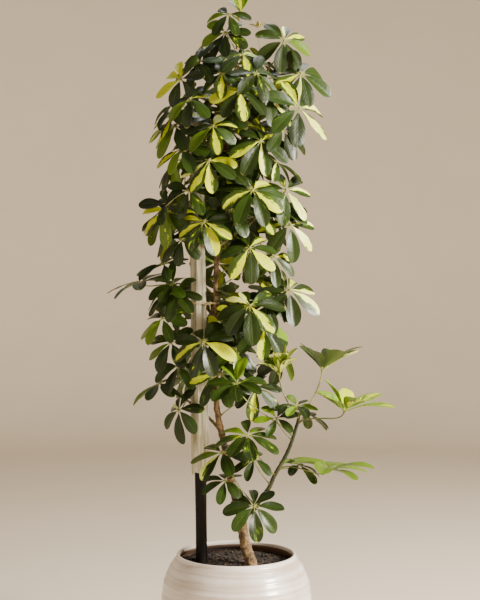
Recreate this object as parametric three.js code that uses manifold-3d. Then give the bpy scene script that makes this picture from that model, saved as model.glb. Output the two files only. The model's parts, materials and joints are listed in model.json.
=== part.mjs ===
// A potted umbrella plant: a glazed belly pot, its soil, a sleeved stake and a variegated plant.
// Millimetres, +Z up, the front towards -Y. The origin is the middle of the pot's flat base.

import * as THREE from 'three';
import { mergeVertices } from 'three/addons/utils/BufferGeometryUtils.js';
import Module from 'manifold-3d';

const wasm = await Module();
wasm.setup();

// Clearance between pieces that touch, and the distance at which vertices are one
const GAP = 0.3;
const WELD = 0.001;

// Pot
const POT_HEIGHT = 330;
const POT_BASE_RADIUS = 128;
const POT_BELLY_RADIUS = 199;
const POT_BELLY_HEIGHT = 190;
const POT_RIM_RADIUS = 159;
const POT_OPENING_RADIUS = 150;
const POT_LIP = 8;
const RIM_ROUND = 2;
const POT_WALL = 9;
const POT_FLOOR = 12;
const POT_SIDES = 32;
const POT_ROWS = 5;
const CAVITY_ROWS = 2;
const SHOULDER_POWER = 2.8;

// Soil
const SOIL_HEIGHT = 305;
const SOIL_MOUND = 5;
const SOIL_ROWS = 3;
const SOIL_WAVE = 2;
const SOIL_WAVE_TURN = 9;

// Stake: a dark post, and the film sleeve that is drawn over it
const ROOT_HEIGHT = 215;
const STAKE_X = -92;
const STAKE_Y = 10;
const STAKE_LEAN = 0.7;
const POST_RADIUS = 15.5;
const POST_TOP = 1466;
const SLEEVE_FOOT = 538;
const SLEEVE_TOP = 1476;
const SLEEVE_FOOT_RADIUS = 25;
const SLEEVE_MID_RADIUS = 21.5;
const SLEEVE_TOP_RADIUS = 20;
const SLEEVE_WALL = 2;
const STAKE_SIDES = 18;

// String ties round the sleeve and the trunk, by height
const TIE_HEIGHTS = { tie_lower: 990, tie_upper: 1316 };
const TIE_RADIUS = 1.4;
const TIE_SLACK = 1.4;
const TIE_KNOT_RADIUS = 3.6;
const TIE_STEPS = 18;
const TIE_SIDES = 4;
const TIE_TRUNK_ARC = 5;
const TIE_STAKE_ARC = 7;
const TIE_CLOSED_SHARE = 0.97;
// The bend and the end of a tail, seen from the knot: across, back and up
const TIE_TAIL = [[4, -6, -5], [7, -7, -16]];
const TIE_TAIL_STEPS = 3;

// Trunk: across, back, height and radius from the roots to the tip
const TRUNK = [
  [42, -37, ROOT_HEIGHT, 16.5], [40, -35, 303, 15.5], [28, -30, 343, 14.5], [18, -24, 390, 13.5],
  [12, -20, 430, 12.5], [-1, -14, 480, 11.5], [-14, -8, 523, 11], [-32, 0, 616, 9.5],
  [-46, 4, 677, 8.5], [-53, 5, 740, 8], [-55, 5, 870, 7.5], [-56, 5, 1000, 7], [-53, 5, 1090, 7],
  [-48, 5, 1220, 6.5], [-34, 5, 1360, 6], [-14, 3, 1500, 5], [0, 0, 1620, 4.2], [4, 0, 1705, 3.5],
];
const TRUNK_SIDES = 8;
const TRUNK_STEPS = 26;

// Side stems that grow from the trunk, with their leaves fused to them
const SIDE_STEMS = {
  young_shoot: [
    [11, -20, 420, 7], [32, -38, 440, 7.2], [49, -48, 456, 7], [62, -50, 478, 7], [86, -52, 511, 6.6],
    [100, -54, 543, 6.4], [123, -56, 583, 6], [141, -57, 622, 5.5], [159, -58, 678, 5], [164, -58, 700, 3.5],
  ],
  twig_top_right: [[-23, 4, 1440, 4.5], [16, 9, 1500, 4], [56, -2, 1560, 3.6], [88, -12, 1616, 3]],
  twig_top_left: [[-34, 5, 1375, 4.5], [-64, 38, 1425, 4], [-106, 44, 1480, 3.6], [-132, 26, 1530, 3]],
  twig_mid_left: [[-53, 5, 1120, 4.5], [-80, 40, 1152, 4], [-122, 44, 1182, 3.6], [-152, 18, 1206, 3]],
  twig_right: [[-50, 5, 1140, 4.5], [-8, -4, 1172, 4], [36, -12, 1204, 3.6], [68, -16, 1232, 3]],
  twig_left: [[-56, 5, 950, 4.5], [-80, 40, 978, 4], [-122, 44, 1006, 3.6], [-160, 20, 1034, 3]],
  twig_low_right: [[-56, 5, 900, 4.5], [-16, -6, 936, 4], [24, -16, 970, 3.6], [58, -20, 1000, 3]],
  twig_low_left: [[-40, 2, 650, 4.5], [-70, 38, 680, 4], [-110, 46, 712, 3.6], [-144, 24, 742, 3]],
};
const SIDE_STEM_SIDES = 6;
const SIDE_STEM_STEP = 38;

// Leaves: the stem, the hub's place across, back and up, the leaflets' length and number, the way the
// leaf faces round the plant (-90 is to the front) and upwards, its droop, its spin and its colouring
const LEAVES = [
  ['trunk', 12, 0, 1762, 64, 6, -90, 78, -62, 20, 'young'],
  ['trunk', -20, -36, 1750, 74, 6, -105, 42, 4, 0, 'green'],
  ['trunk', -28, -44, 1700, 84, 8, -112, 26, 4, 10, 'green'],
  ['trunk', 16, -58, 1639, 87, 8, -85, 44, 6, 5, 'mixed'],
  ['trunk', -84, 0, 1666, 84, 7, -140, 42, 6, 0, 'green'],
  ['trunk', -36, -84, 1586, 84, 7, -110, 39, 8, 15, 'green'],
  ['trunk', 10, -104, 1536, 91, 8, -88, 38, 7, 4, 'mixed'],
  ['trunk', -60, -112, 1444, 84, 7, -100, 39, 7, 25, 'gold'],
  ['trunk', 62, -114, 1406, 99, 9, -80, 33, 7, 4, 'mixed'],
  ['trunk', -14, -66, 1492, 80, 7, -120, 40, 10, 12, 'green'],
  ['trunk', -70, -112, 1356, 91, 8, -98, 35, 8, 12, 'gold'],
  ['trunk', 0, -84, 1352, 84, 7, -75, 35, 11, 20, 'green'],
  ['trunk', 42, -124, 1280, 101, 9, -84, 34, 7, 8, 'mixed'],
  ['trunk', -16, -66, 1236, 86, 7, -100, 37, 11, 0, 'green'],
  ['trunk', -82, -112, 1200, 89, 8, -98, 32, 7, 20, 'gold'],
  ['trunk', 34, -114, 1134, 91, 8, -84, 32, 7, 5, 'mixed'],
  ['trunk', 34, -124, 986, 106, 8, -82, 37, 8, 0, 'cream'],
  ['trunk', -84, -112, 894, 99, 8, -96, 34, 8, 22, 'gold'],
  ['trunk', -2, -70, 874, 87, 7, -70, 38, 9, 8, 'green'],
  ['trunk', -40, -94, 812, 97, 7, -98, 38, 9, 30, 'green'],
  ['trunk', -28, -72, 533, 74, 7, -105, 58, 4, 10, 'green'],
  ['trunk', -102, -44, 1622, 84, 7, -125, 34, 6, 5, 'mixed'],
  ['trunk', 52, -96, 1582, 84, 7, -70, 40, 9, 20, 'green'],
  ['trunk', -4, 112, 1648, 84, 7, 95, 44, 11, 0, 'mixed'],
  ['trunk', 46, 110, 1556, 86, 7, 70, 42, 13, 20, 'green'],
  ['trunk', -58, 128, 1500, 86, 8, 110, 41, 13, 0, 'mixed'],
  ['trunk', 50, 140, 1404, 87, 8, 72, 39, 13, 5, 'green'],
  ['trunk', -64, 146, 1330, 87, 8, 105, 39, 13, 15, 'green'],
  ['trunk', 32, 150, 1268, 87, 8, 76, 39, 13, 0, 'mixed'],
  ['trunk', -40, 156, 1176, 87, 8, 98, 39, 13, 25, 'green'],
  ['trunk', 56, 124, 1106, 86, 7, 60, 39, 13, 0, 'mixed'],
  ['trunk', -24, 148, 1010, 87, 8, 88, 39, 13, 20, 'mixed'],
  ['trunk', 62, 104, 930, 84, 7, 55, 39, 14, 0, 'green'],
  ['trunk', -24, 130, 836, 84, 7, 92, 39, 14, 5, 'green'],
  ['twig_top_right', 126, -24, 1684, 93, 8, -80, 24, 3, 30, 'mixed'],
  ['twig_top_right', 170, -38, 1594, 103, 8, -74, 30, 8, 15, 'mixed'],
  ['twig_top_right', 82, -72, 1532, 87, 7, -80, 38, 9, 9, 'mixed'],
  ['twig_top_right', 162, -76, 1496, 108, 7, -78, 30, 10, 10, 'cream'],
  ['twig_top_right', 122, -92, 1438, 88, 7, -70, 37, 10, 25, 'green'],
  ['twig_top_right', 70, 48, 1640, 84, 7, 40, 46, 10, 0, 'green'],
  ['twig_top_right', 136, 42, 1500, 89, 7, 12, 40, 15, 4, 'green'],
  ['twig_top_right', 58, -10, 1722, 24, 4, -90, 80, -40, 0, 'dry'],
  ['twig_top_left', -144, -44, 1578, 84, 7, -110, 24, 3, 0, 'gold'],
  ['twig_top_left', -120, -80, 1520, 86, 7, -115, 39, 10, 20, 'mixed'],
  ['twig_top_left', -160, -34, 1456, 99, 7, -135, 42, 16, 0, 'green'],
  ['twig_top_left', -170, -10, 1516, 84, 7, -145, 52, 8, 15, 'green'],
  ['twig_top_left', -122, 100, 1560, 86, 7, 130, 44, 14, 10, 'mixed'],
  ['twig_mid_left', -166, 0, 1364, 89, 7, -150, 50, 12, 10, 'mixed'],
  ['twig_mid_left', -142, -66, 1394, 86, 7, -120, 42, 9, 0, 'green'],
  ['twig_mid_left', -140, -64, 1160, 84, 7, -115, 38, 10, 20, 'green'],
  ['twig_mid_left', -182, -42, 1233, 92, 7, -105, 28, 6, 12, 'gold'],
  ['twig_mid_left', -120, -78, 1284, 84, 7, -110, 40, 12, 0, 'green'],
  ['twig_mid_left', -152, 60, 1300, 87, 7, 150, 46, 13, 5, 'green'],
  ['twig_mid_left', -176, 66, 1176, 86, 7, 150, 42, 13, 15, 'mixed'],
  ['twig_right', 130, -54, 1287, 97, 7, -72, 30, 10, 0, 'cream'],
  ['twig_right', 140, -58, 1196, 104, 7, -75, 28, 12, 20, 'cream'],
  ['twig_right', 98, -74, 1112, 80, 7, -65, 35, 10, 10, 'green'],
  ['twig_right', 98, 44, 1230, 89, 7, 25, 42, 12, 0, 'green'],
  ['twig_right', 106, -10, 1366, 89, 7, -20, 46, 10, 10, 'green'],
  ['twig_left', -190, -32, 1094, 84, 7, -130, 58, -4, 0, 'green'],
  ['twig_left', -250, -10, 1048, 106, 7, -150, 70, -12, 25, 'green'],
  ['twig_left', -154, -58, 1018, 82, 7, -110, 46, 7, 10, 'green'],
  ['twig_left', -194, -18, 952, 90, 7, -120, 42, 6, 0, 'mixed'],
  ['twig_left', -190, 80, 1034, 84, 7, 140, 46, 12, 10, 'green'],
  ['twig_low_right', 138, -64, 1026, 106, 7, -75, 32, 8, 15, 'cream'],
  ['twig_low_right', 72, -80, 930, 95, 7, -72, 40, 11, 5, 'mixed'],
  ['twig_low_right', 98, 40, 1020, 89, 7, 20, 42, 12, 0, 'green'],
  ['twig_low_left', -170, -42, 890, 90, 7, -115, 40, 6, 5, 'mixed'],
  ['twig_low_left', -202, -4, 780, 96, 7, -150, 66, 2, 0, 'green'],
  ['twig_low_left', -152, -28, 712, 88, 7, -130, 22, 14, 15, 'green'],
  ['twig_low_left', -152, -34, 828, 86, 7, -120, 48, 10, 20, 'green'],
  ['twig_low_left', -124, 96, 800, 84, 7, 120, 39, 14, 0, 'green'],
  ['young_shoot', 112, -64, 806, 100, 8, -90, 78, -78, 0, 'fresh'],
  ['young_shoot', 224, -58, 816, 120, 7, -20, 82, -50, 13, 'green'],
  ['young_shoot', 282, -56, 710, 134, 7, -20, 82, -32, 13, 'fresh'],
  ['young_shoot', 156, -92, 728, 60, 6, -90, 70, -10, 0, 'fresh'],
  ['young_shoot', 2, -122, 788, 92, 7, -100, 62, -8, 20, 'fresh'],
  ['young_shoot', 30, -124, 657, 98, 8, -100, 62, -6, 20, 'fresh'],
  ['young_shoot', 104, -92, 696, 66, 6, -90, 50, -10, 10, 'green'],
  ['young_shoot', 239, -68, 560, 134, 8, -20, 84, -20, 0, 'fresh'],
  ['young_shoot', 166, -20, 566, 72, 6, -40, 66, 0, 25, 'green'],
  ['young_shoot', -36, -92, 608, 92, 7, -120, 60, 2, 0, 'green'],
  ['young_shoot', 48, -96, 592, 72, 6, -90, 58, 4, 15, 'green'],
  ['young_shoot', 47, -92, 470, 92, 8, -90, 42, 8, 5, 'green'],
  ['young_shoot', 184, 4, 700, 78, 7, 30, 60, 0, 5, 'green'],
  ['trunk', 118, -40, 862, 90, 7, -60, 26, 18, 0, 'green'],
  ['trunk', 50, -74, 776, 84, 7, -85, 34, 12, 10, 'green'],
];

// Leaflets: half width over length, stations along the rib with their share of the width, the depth of
// the keel under the rib, and how far the drawn values spread
const HALF_WIDTH = 0.168;
const STATIONS = [0.42, 0.76, 1];
const STATION_WIDTHS = [0.84, 0.94];
const KEEL_DEPTH = 2.4;
const RIB_STEPS = 24;
const TURN_SPREAD = 14;
const LENGTH_SPREAD = 0.16;
const UPPER_SHORTENING = 0.1;
const DROOP_SPREAD = 16;
const BEND = 10;
const BEND_SPREAD = 18;
const ROLL_SPREAD = 26;
const SAG = 0.2;
const HUB_RADIUS = 3.8;
const HUB_HALF_HEIGHT = 2.2;
const MEAN_SHARE = 0.9;
const RANDOM_SEED = 20;
const DRAW_FACTOR = 16807;
const DRAW_RANGE = 2147483647;

// Petioles, and the room that is kept when stalks and blades are bent clear of each other
const PETIOLE_RADIUS = 1.8;
const PETIOLE_SIDES = 3;
const PETIOLE_STEPS = 6;
const PETIOLE_RUNS = 4;
const PETIOLE_ROOM = 2;
const PETIOLE_OUT = 0.8;
const PETIOLE_UP = 0.75;
const PETIOLE_START_PULL = 0.36;
const PETIOLE_END_PULL = 0.3;
const PETIOLE_PROBES = [0.25, 0.5, 0.75, 1];
const FOOT_STEP = 2;
const FOOT_DROP = 18;
const FOOT_DROP_SHARE = 0.45;
const FOOT_ROOM = 8;
const STEM_BARE_SHARE = 0.15;
const STAKE_ROOM_RADIUS = 25;
const STAKE_DETOUR = 1.7;
const BLADE_ROOM = 2;
const BLADE_MARGIN = 1.5;
const LIFTS = [0, 8, -8, 16, -16, 24, -24, 32, -32, 40, -40];
const SHRINKS = [1, 0.85, 0.7];
const FOOT_MOVES = [0, 8, -8, 16, -16, 24, -24, 32, -32, 40, 48, 56];

const FINISHES = {
  pot: { color: 0xe6dccb, roughness: 0.28, metalness: 0 },
  soil: { color: 0x33231a, roughness: 0.95, metalness: 0 },
  post: { color: 0x1c1410, roughness: 0.5, metalness: 0 },
  sleeve: { color: 0xc9c6ae, roughness: 0.35, metalness: 0 },
  string: { color: 0xd8cba2, roughness: 0.85, metalness: 0 },
  bark: { color: 0x8a6542, roughness: 0.85, metalness: 0 },
  shoot: { color: 0x6d8a3c, roughness: 0.45, metalness: 0 },
  young: { color: 0x7fa24a, roughness: 0.4, metalness: 0 },
  green: { color: 0x2f4f2a, roughness: 0.3, metalness: 0 },
  mixed: { color: 0x5b7436, roughness: 0.3, metalness: 0 },
  gold: { color: 0x9a9a3c, roughness: 0.3, metalness: 0 },
  cream: { color: 0x9aa574, roughness: 0.3, metalness: 0 },
};

const radians = THREE.MathUtils.degToRad;
const vector = ([x, y, z]) => new THREE.Vector3(x, y, z);
const between = (a, b, t) => a.clone().lerp(b, t);

// Closed solid of a three.js geometry, with its shared vertices merged
function solidOf(geometry) {
  const bare = geometry.clone();
  bare.deleteAttribute('normal');
  bare.deleteAttribute('uv');
  const merged = mergeVertices(bare, WELD);
  const triVerts = [];
  for (let i = 0; i < merged.index.count; i += 3) {
    const corners = [0, 1, 2].map((j) => merged.index.getX(i + j));
    if (new Set(corners).size === 3) triVerts.push(...corners);
  }
  const vertProperties = Float32Array.from(merged.attributes.position.array);
  const mesh = new wasm.Mesh({ numProp: 3, vertProperties, triVerts: Uint32Array.from(triVerts) });
  return new wasm.Manifold(mesh);
}

function meshOf(name, solid, finish) {
  const { vertProperties, triVerts } = solid.getMesh();
  const geometry = new THREE.BufferGeometry();
  geometry.setAttribute('position', new THREE.BufferAttribute(vertProperties, 3));
  geometry.setIndex(new THREE.BufferAttribute(triVerts, 1));
  geometry.computeVertexNormals();
  const mesh = new THREE.Mesh(geometry, new THREE.MeshStandardMaterial(FINISHES[finish]));
  mesh.name = name;
  return mesh;
}

// Surface of revolution about Z from a profile of radius and height that starts and ends on the axis
function turned(profile, sides) {
  const points = profile.map(([radius, height]) => new THREE.Vector2(radius, height));
  return new THREE.LatheGeometry(points, sides).rotateX(Math.PI / 2);
}

function smoothCurve(points) {
  return new THREE.CatmullRomCurve3(points, false, 'catmullrom', 0.5);
}

function extruded(curve, radius, sides, steps) {
  const corners = Array.from({ length: sides }, (_, i) => {
    const angle = 2 * Math.PI * i / sides;
    return new THREE.Vector2(radius * Math.cos(angle), radius * Math.sin(angle));
  });
  const settings = { steps, extrudePath: curve, bevelEnabled: false };
  return new THREE.ExtrudeGeometry(new THREE.Shape(corners), settings);
}

// Tube of one radius along a smooth curve through the points
function tube(points, radius, sides, steps) {
  return solidOf(extruded(smoothCurve(points), radius, sides, steps));
}

// Tube whose radius follows its height, from a tube of radius 1
function taperedTube(points, radiusAt, sides, steps) {
  const curve = smoothCurve(points);
  const geometry = extruded(curve, 1, sides, steps);
  const centres = curve.getSpacedPoints(steps);
  const position = geometry.attributes.position;
  const point = new THREE.Vector3();
  const nearer = (a, b) => (b.distanceToSquared(point) < a.distanceToSquared(point) ? b : a);
  for (let i = 0; i < position.count; i += 1) {
    point.fromBufferAttribute(position, i);
    const near = centres.reduce(nearer);
    point.sub(near).multiplyScalar(radiusAt(near.z)).add(near);
    position.setXYZ(i, point.x, point.y, point.z);
  }
  return solidOf(geometry);
}

// Point and radius of a stem at a height
function atHeight(stem, height) {
  let k = 1;
  while (k < stem.length - 1 && stem[k][2] < height) k += 1;
  const share = THREE.MathUtils.clamp((height - stem[k - 1][2]) / (stem[k][2] - stem[k - 1][2]), 0, 1);
  const point = between(vector(stem[k - 1]), vector(stem[k]), share);
  return { point, radius: THREE.MathUtils.lerp(stem[k - 1][3], stem[k][3], share) };
}

// Solid of a stem, grown all round and at its foot by a clearance where it is cut out of its neighbours
function stemSolid(stem, sides, steps, growth = 0) {
  const points = stem.map(vector);
  points[0].z -= growth;
  return taperedTube(points, (height) => atHeight(stem, height).radius + growth, sides, steps);
}

// Pot: the outside, the lip and the inside wall
function potRadius(height) {
  if (height < POT_BELLY_HEIGHT) {
    const swell = Math.sin(Math.PI / 2 * height / POT_BELLY_HEIGHT);
    return POT_BASE_RADIUS + (POT_BELLY_RADIUS - POT_BASE_RADIUS) * swell;
  }
  const shoulder = (height - POT_BELLY_HEIGHT) / (POT_HEIGHT - POT_LIP - POT_BELLY_HEIGHT);
  return POT_BELLY_RADIUS - (POT_BELLY_RADIUS - POT_RIM_RADIUS) * shoulder ** SHOULDER_POWER;
}

function cavityRadius(height) {
  return potRadius(height) - POT_WALL;
}

function heights(low, high, rows) {
  return Array.from({ length: rows + 1 }, (_, i) => low + (high - low) * i / rows);
}

function cavityHeights() {
  return [
    ...heights(POT_FLOOR, POT_BELLY_HEIGHT, CAVITY_ROWS),
    ...heights(POT_BELLY_HEIGHT, SOIL_HEIGHT, CAVITY_ROWS).slice(1),
  ];
}

function potSolid() {
  const lipFoot = POT_HEIGHT - POT_LIP;
  const outside = [
    ...heights(0, POT_BELLY_HEIGHT, POT_ROWS - 2),
    ...heights(POT_BELLY_HEIGHT, lipFoot, POT_ROWS).slice(1),
  ];
  return solidOf(turned([
    [0, 0],
    ...outside.map((height) => [potRadius(height), height]),
    [POT_RIM_RADIUS - RIM_ROUND / 2, POT_HEIGHT - RIM_ROUND],
    [POT_RIM_RADIUS - POT_LIP / 2, POT_HEIGHT],
    [POT_OPENING_RADIUS, POT_HEIGHT - RIM_ROUND],
    [POT_OPENING_RADIUS, lipFoot - RIM_ROUND],
    ...cavityHeights().reverse().map((height) => [cavityRadius(height), height]),
    [0, POT_FLOOR],
  ], POT_SIDES));
}

// Soil: it fills the pot up to a low mound, with a plain hole for the trunk and one for the post
function soilSolid(trunkRoom, postRoom) {
  const side = cavityHeights().map((height) => {
    return [cavityRadius(height) - GAP, Math.max(height, POT_FLOOR + GAP)];
  });
  side[side.length - 1][1] -= SOIL_MOUND;
  const top = heights(0, 1, SOIL_ROWS).slice(1, -1).map((share) => [
    (1 - share) * cavityRadius(SOIL_HEIGHT),
    SOIL_HEIGHT + SOIL_MOUND * (share - 1) + SOIL_WAVE * Math.sin(SOIL_WAVE_TURN * share),
  ]);
  const mound = solidOf(turned([[0, POT_FLOOR + GAP], ...side, ...top, [0, SOIL_HEIGHT]], POT_SIDES));
  return mound.subtract(trunkRoom).subtract(postRoom);
}

// Stake: each piece is turned upright about the stake's own axis, then leaned about its place in the soil
function stakePoint(height) {
  const offset = Math.tan(radians(STAKE_LEAN)) * (height - SOIL_HEIGHT);
  return new THREE.Vector3(STAKE_X - offset, STAKE_Y, height);
}

function leaned(profile) {
  const geometry = turned(profile, STAKE_SIDES);
  geometry.translate(0, 0, -SOIL_HEIGHT).rotateY(radians(-STAKE_LEAN));
  return solidOf(geometry.translate(STAKE_X, STAKE_Y, SOIL_HEIGHT));
}

function postSolid(growth = 0) {
  const radius = POST_RADIUS + growth;
  const foot = ROOT_HEIGHT - growth;
  return leaned([[0, foot], [radius, foot], [radius, POST_TOP], [0, POST_TOP]]);
}

function sleeveRadius(height) {
  const middle = (SLEEVE_FOOT + SLEEVE_TOP) / 2;
  if (height < middle) {
    const share = (height - SLEEVE_FOOT) / (middle - SLEEVE_FOOT);
    return THREE.MathUtils.lerp(SLEEVE_FOOT_RADIUS, SLEEVE_MID_RADIUS, share);
  }
  const share = (height - middle) / (SLEEVE_TOP - middle);
  return THREE.MathUtils.lerp(SLEEVE_MID_RADIUS, SLEEVE_TOP_RADIUS, share);
}

// The sleeve is closed at its top, where it sits on the end of the post
function sleeveSolid() {
  const middle = (SLEEVE_FOOT + SLEEVE_TOP) / 2;
  const seat = POST_TOP + GAP;
  return leaned([
    [0, seat],
    [SLEEVE_TOP_RADIUS - SLEEVE_WALL, seat],
    [SLEEVE_MID_RADIUS - SLEEVE_WALL, middle],
    [SLEEVE_FOOT_RADIUS - SLEEVE_WALL, SLEEVE_FOOT],
    [SLEEVE_FOOT_RADIUS, SLEEVE_FOOT],
    [SLEEVE_MID_RADIUS, middle],
    [SLEEVE_TOP_RADIUS, SLEEVE_TOP - SLEEVE_WALL],
    [SLEEVE_TOP_RADIUS - SLEEVE_WALL, SLEEVE_TOP],
    [0, SLEEVE_TOP],
  ]);
}

// Tie: a string loop round the sleeve and the trunk, closed by a knot with two tails at the front
function tieRoute(height) {
  const stake = stakePoint(height);
  const trunk = atHeight(TRUNK, height);
  const stakeRing = sleeveRadius(height) + TIE_SLACK + TIE_RADIUS;
  const trunkRing = trunk.radius + TIE_SLACK + TIE_RADIUS;
  const span = Math.hypot(trunk.point.x - stake.x, trunk.point.y - stake.y);
  const heading = Math.atan2(trunk.point.y - stake.y, trunk.point.x - stake.x);
  const wrap = Math.acos((stakeRing - trunkRing) / span);
  const arc = (centre, radius, from, to, count) => heights(from, to, count).map((angle) => vector([
    centre.x + radius * Math.cos(heading + angle),
    centre.y + radius * Math.sin(heading + angle),
    height,
  ]));
  const roundTrunk = arc(trunk.point, trunkRing, -wrap, wrap, TIE_TRUNK_ARC);
  const roundStake = arc(stake, stakeRing, wrap, 2 * Math.PI - wrap, TIE_STAKE_ARC);
  const knot = between(roundStake.at(-1), roundTrunk[0], 0.5);
  return { knot, loop: [knot, ...roundTrunk, ...roundStake, knot] };
}

function tieSolid(height) {
  const { knot, loop } = tieRoute(height);
  const end = between(loop.at(-2), knot, TIE_CLOSED_SHARE);
  const string = tube([...loop.slice(0, -1), end], TIE_RADIUS, TIE_SIDES, TIE_STEPS);
  const ball = new THREE.IcosahedronGeometry(TIE_KNOT_RADIUS, 0).translate(knot.x, knot.y, knot.z);
  const tails = [-1, 1].map((side) => {
    const route = TIE_TAIL.map(([across, back, up]) => vector([side * across, back, up]).add(knot));
    return tube([knot, ...route], TIE_RADIUS, TIE_SIDES, TIE_TAIL_STEPS);
  });
  return tails.reduce((tie, tail) => tie.add(tail), string.add(solidOf(ball)));
}

// The same random numbers from 0 to 1 each time
function makeDraw(seed) {
  let state = seed;
  return () => {
    state = state * DRAW_FACTOR % DRAW_RANGE;
    return state / DRAW_RANGE;
  };
}

// Leaves with their place, the way they face and their drawn values
function plannedLeaves() {
  const draw = makeDraw(RANDOM_SEED);
  return LEAVES.map(([stem, x, y, z, length, count, facing, tilt, droop, spin, finish]) => {
    const hub = vector([x, y, z]);
    const level = Math.cos(radians(tilt));
    const axis = vector([
      Math.cos(radians(facing)) * level,
      Math.sin(radians(facing)) * level,
      Math.sin(radians(tilt)),
    ]);
    const side = vector([0, 0, 1]).cross(axis).normalize();
    const up = axis.clone().cross(side);
    const draws = Array.from({ length: count }, () => [draw(), draw(), draw(), draw(), draw()]);
    return { stem, hub, axis, side, up, length, count, droop, spin, finish, draws };
  });
}

// Stalks that everything keeps clear of: straight runs with a radius, and what they belong to
function addStalk(stalks, points, radii, owner) {
  for (let i = 1; i < points.length; i += 1) {
    const radius = Math.max(radii[i - 1], radii[i]);
    stalks.push({ line: new THREE.Line3(points[i - 1], points[i]), radius, owner });
  }
}

function clearanceTo(stalk, point) {
  const near = stalk.line.closestPointToPoint(point, true, new THREE.Vector3());
  return near.distanceTo(point) - stalk.radius;
}

// Petiole: it leaves the stem outwards and upwards and meets the hub along the leaf's axis.
// Where it would run through the stake it is bent round it.
function petiolePoints(leaf, foot) {
  const out = leaf.hub.clone().sub(foot);
  const span = out.length();
  const level = Math.max(Math.hypot(out.x, out.y), WELD);
  const rise = vector([PETIOLE_OUT * out.x / level, PETIOLE_OUT * out.y / level, PETIOLE_UP]).normalize();
  const curve = new THREE.CubicBezierCurve3(
    foot,
    foot.clone().addScaledVector(rise, PETIOLE_START_PULL * span),
    leaf.hub.clone().addScaledVector(leaf.axis, -PETIOLE_END_PULL * span),
    leaf.hub,
  );
  const points = curve.getPoints(PETIOLE_STEPS);
  const side = leaf.hub.y <= 0 ? -1 : 1;
  const ring = STAKE_ROOM_RADIUS + PETIOLE_ROOM + 2 * PETIOLE_RADIUS;
  const reach = STAKE_DETOUR * ring;
  for (const point of points.slice(1, -1)) {
    const stake = stakePoint(point.z);
    const across = Math.abs(point.x - stake.x);
    if (across < reach && point.z < SLEEVE_TOP + ring) {
      const room = ring * Math.sqrt(1 - (across / reach) ** 2);
      if (side * (point.y - stake.y) < room) point.y = stake.y + side * room;
    }
  }
  return points;
}

// Foot of a petiole: the nearest point of its stem to a point below the hub
function petioleFoot(leaf, stem, lower) {
  const target = leaf.hub.clone();
  target.z -= lower;
  let best = null;
  const top = stem.at(-1)[2];
  const bottom = THREE.MathUtils.lerp(stem[0][2], top, STEM_BARE_SHARE);
  for (let height = bottom; height < top - FOOT_STEP / 2; height += FOOT_STEP) {
    const { point, radius } = atHeight(stem, height);
    const distance = point.distanceTo(target);
    if (best === null || distance < best.distance) best = { point, radius, distance };
  }
  return best;
}

function clearPetiole(leaf, stem, stalks) {
  const { point: near } = atHeight(stem, leaf.hub.z);
  const reach = Math.hypot(leaf.hub.x - near.x, leaf.hub.y - near.y);
  let best = null;
  for (const move of FOOT_MOVES) {
    const foot = petioleFoot(leaf, stem, FOOT_DROP + FOOT_DROP_SHARE * reach + move);
    const points = petiolePoints(leaf, foot.point);
    const probes = points.slice(1).flatMap((point, i) => {
      return PETIOLE_PROBES.map((share) => between(points[i], point, share));
    });
    let room = Infinity;
    for (const probe of probes) {
      const leaving = probe.distanceTo(foot.point) < foot.radius + FOOT_ROOM;
      for (const stalk of stalks) {
        if (leaving && stalk.owner === leaf.stem) continue;
        room = Math.min(room, clearanceTo(stalk, probe) - PETIOLE_RADIUS);
      }
    }
    if (best === null || room > best.room) best = { room, points };
    if (room > PETIOLE_ROOM) break;
  }
  return best.points;
}

// Rib of one leaflet: its centre, width direction and face direction at each station
function leafletRib(leaf, index, lift, shrink) {
  const [turnDraw, lengthDraw, droopDraw, bendDraw, rollDraw] = leaf.draws[index];
  const turn = radians(leaf.spin + 360 * index / leaf.count + TURN_SPREAD * (turnDraw - 0.5));
  const radial = leaf.side.clone().multiplyScalar(Math.cos(turn)).addScaledVector(leaf.up, Math.sin(turn));
  const across = leaf.axis.clone().cross(radial);
  const share = MEAN_SHARE - UPPER_SHORTENING * Math.sin(turn) + LENGTH_SPREAD * (lengthDraw - 0.5);
  const length = leaf.length * shrink * share;
  const start = radians(leaf.droop + lift + DROOP_SPREAD * (droopDraw - 0.5));
  const bend = radians(BEND + BEND_SPREAD * bendDraw);
  const roll = radians(ROLL_SPREAD * (rollDraw - 0.5));
  const centres = [leaf.hub.clone()];
  const frames = [];
  for (let k = 0; k <= RIB_STEPS; k += 1) {
    const angle = start + bend * k / RIB_STEPS;
    const along = radial.clone().multiplyScalar(Math.cos(angle));
    along.addScaledVector(leaf.axis, -Math.sin(angle));
    along.z -= SAG * k / RIB_STEPS;
    along.normalize();
    const level = across.clone().addScaledVector(along, -across.dot(along)).normalize();
    const face = along.clone().cross(level);
    frames.push({
      wide: level.clone().multiplyScalar(Math.cos(roll)).addScaledVector(face, Math.sin(roll)),
      face: face.clone().multiplyScalar(Math.cos(roll)).addScaledVector(level, -Math.sin(roll)),
    });
    if (k < RIB_STEPS) centres.push(centres[k].clone().addScaledVector(along, length / RIB_STEPS));
  }
  const stations = STATIONS.map((share) => {
    const place = share * RIB_STEPS;
    const low = Math.min(Math.floor(place), RIB_STEPS - 1);
    const centre = between(centres[low], centres[low + 1], place - low);
    return { centre, ...frames[Math.round(place)] };
  });
  return { turn, length, stations };
}

// Left and right edge of a station
function stationEdges({ centre, wide }, halfWidth) {
  return [-1, 1].map((sign) => centre.clone().addScaledVector(wide, sign * halfWidth));
}

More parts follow.
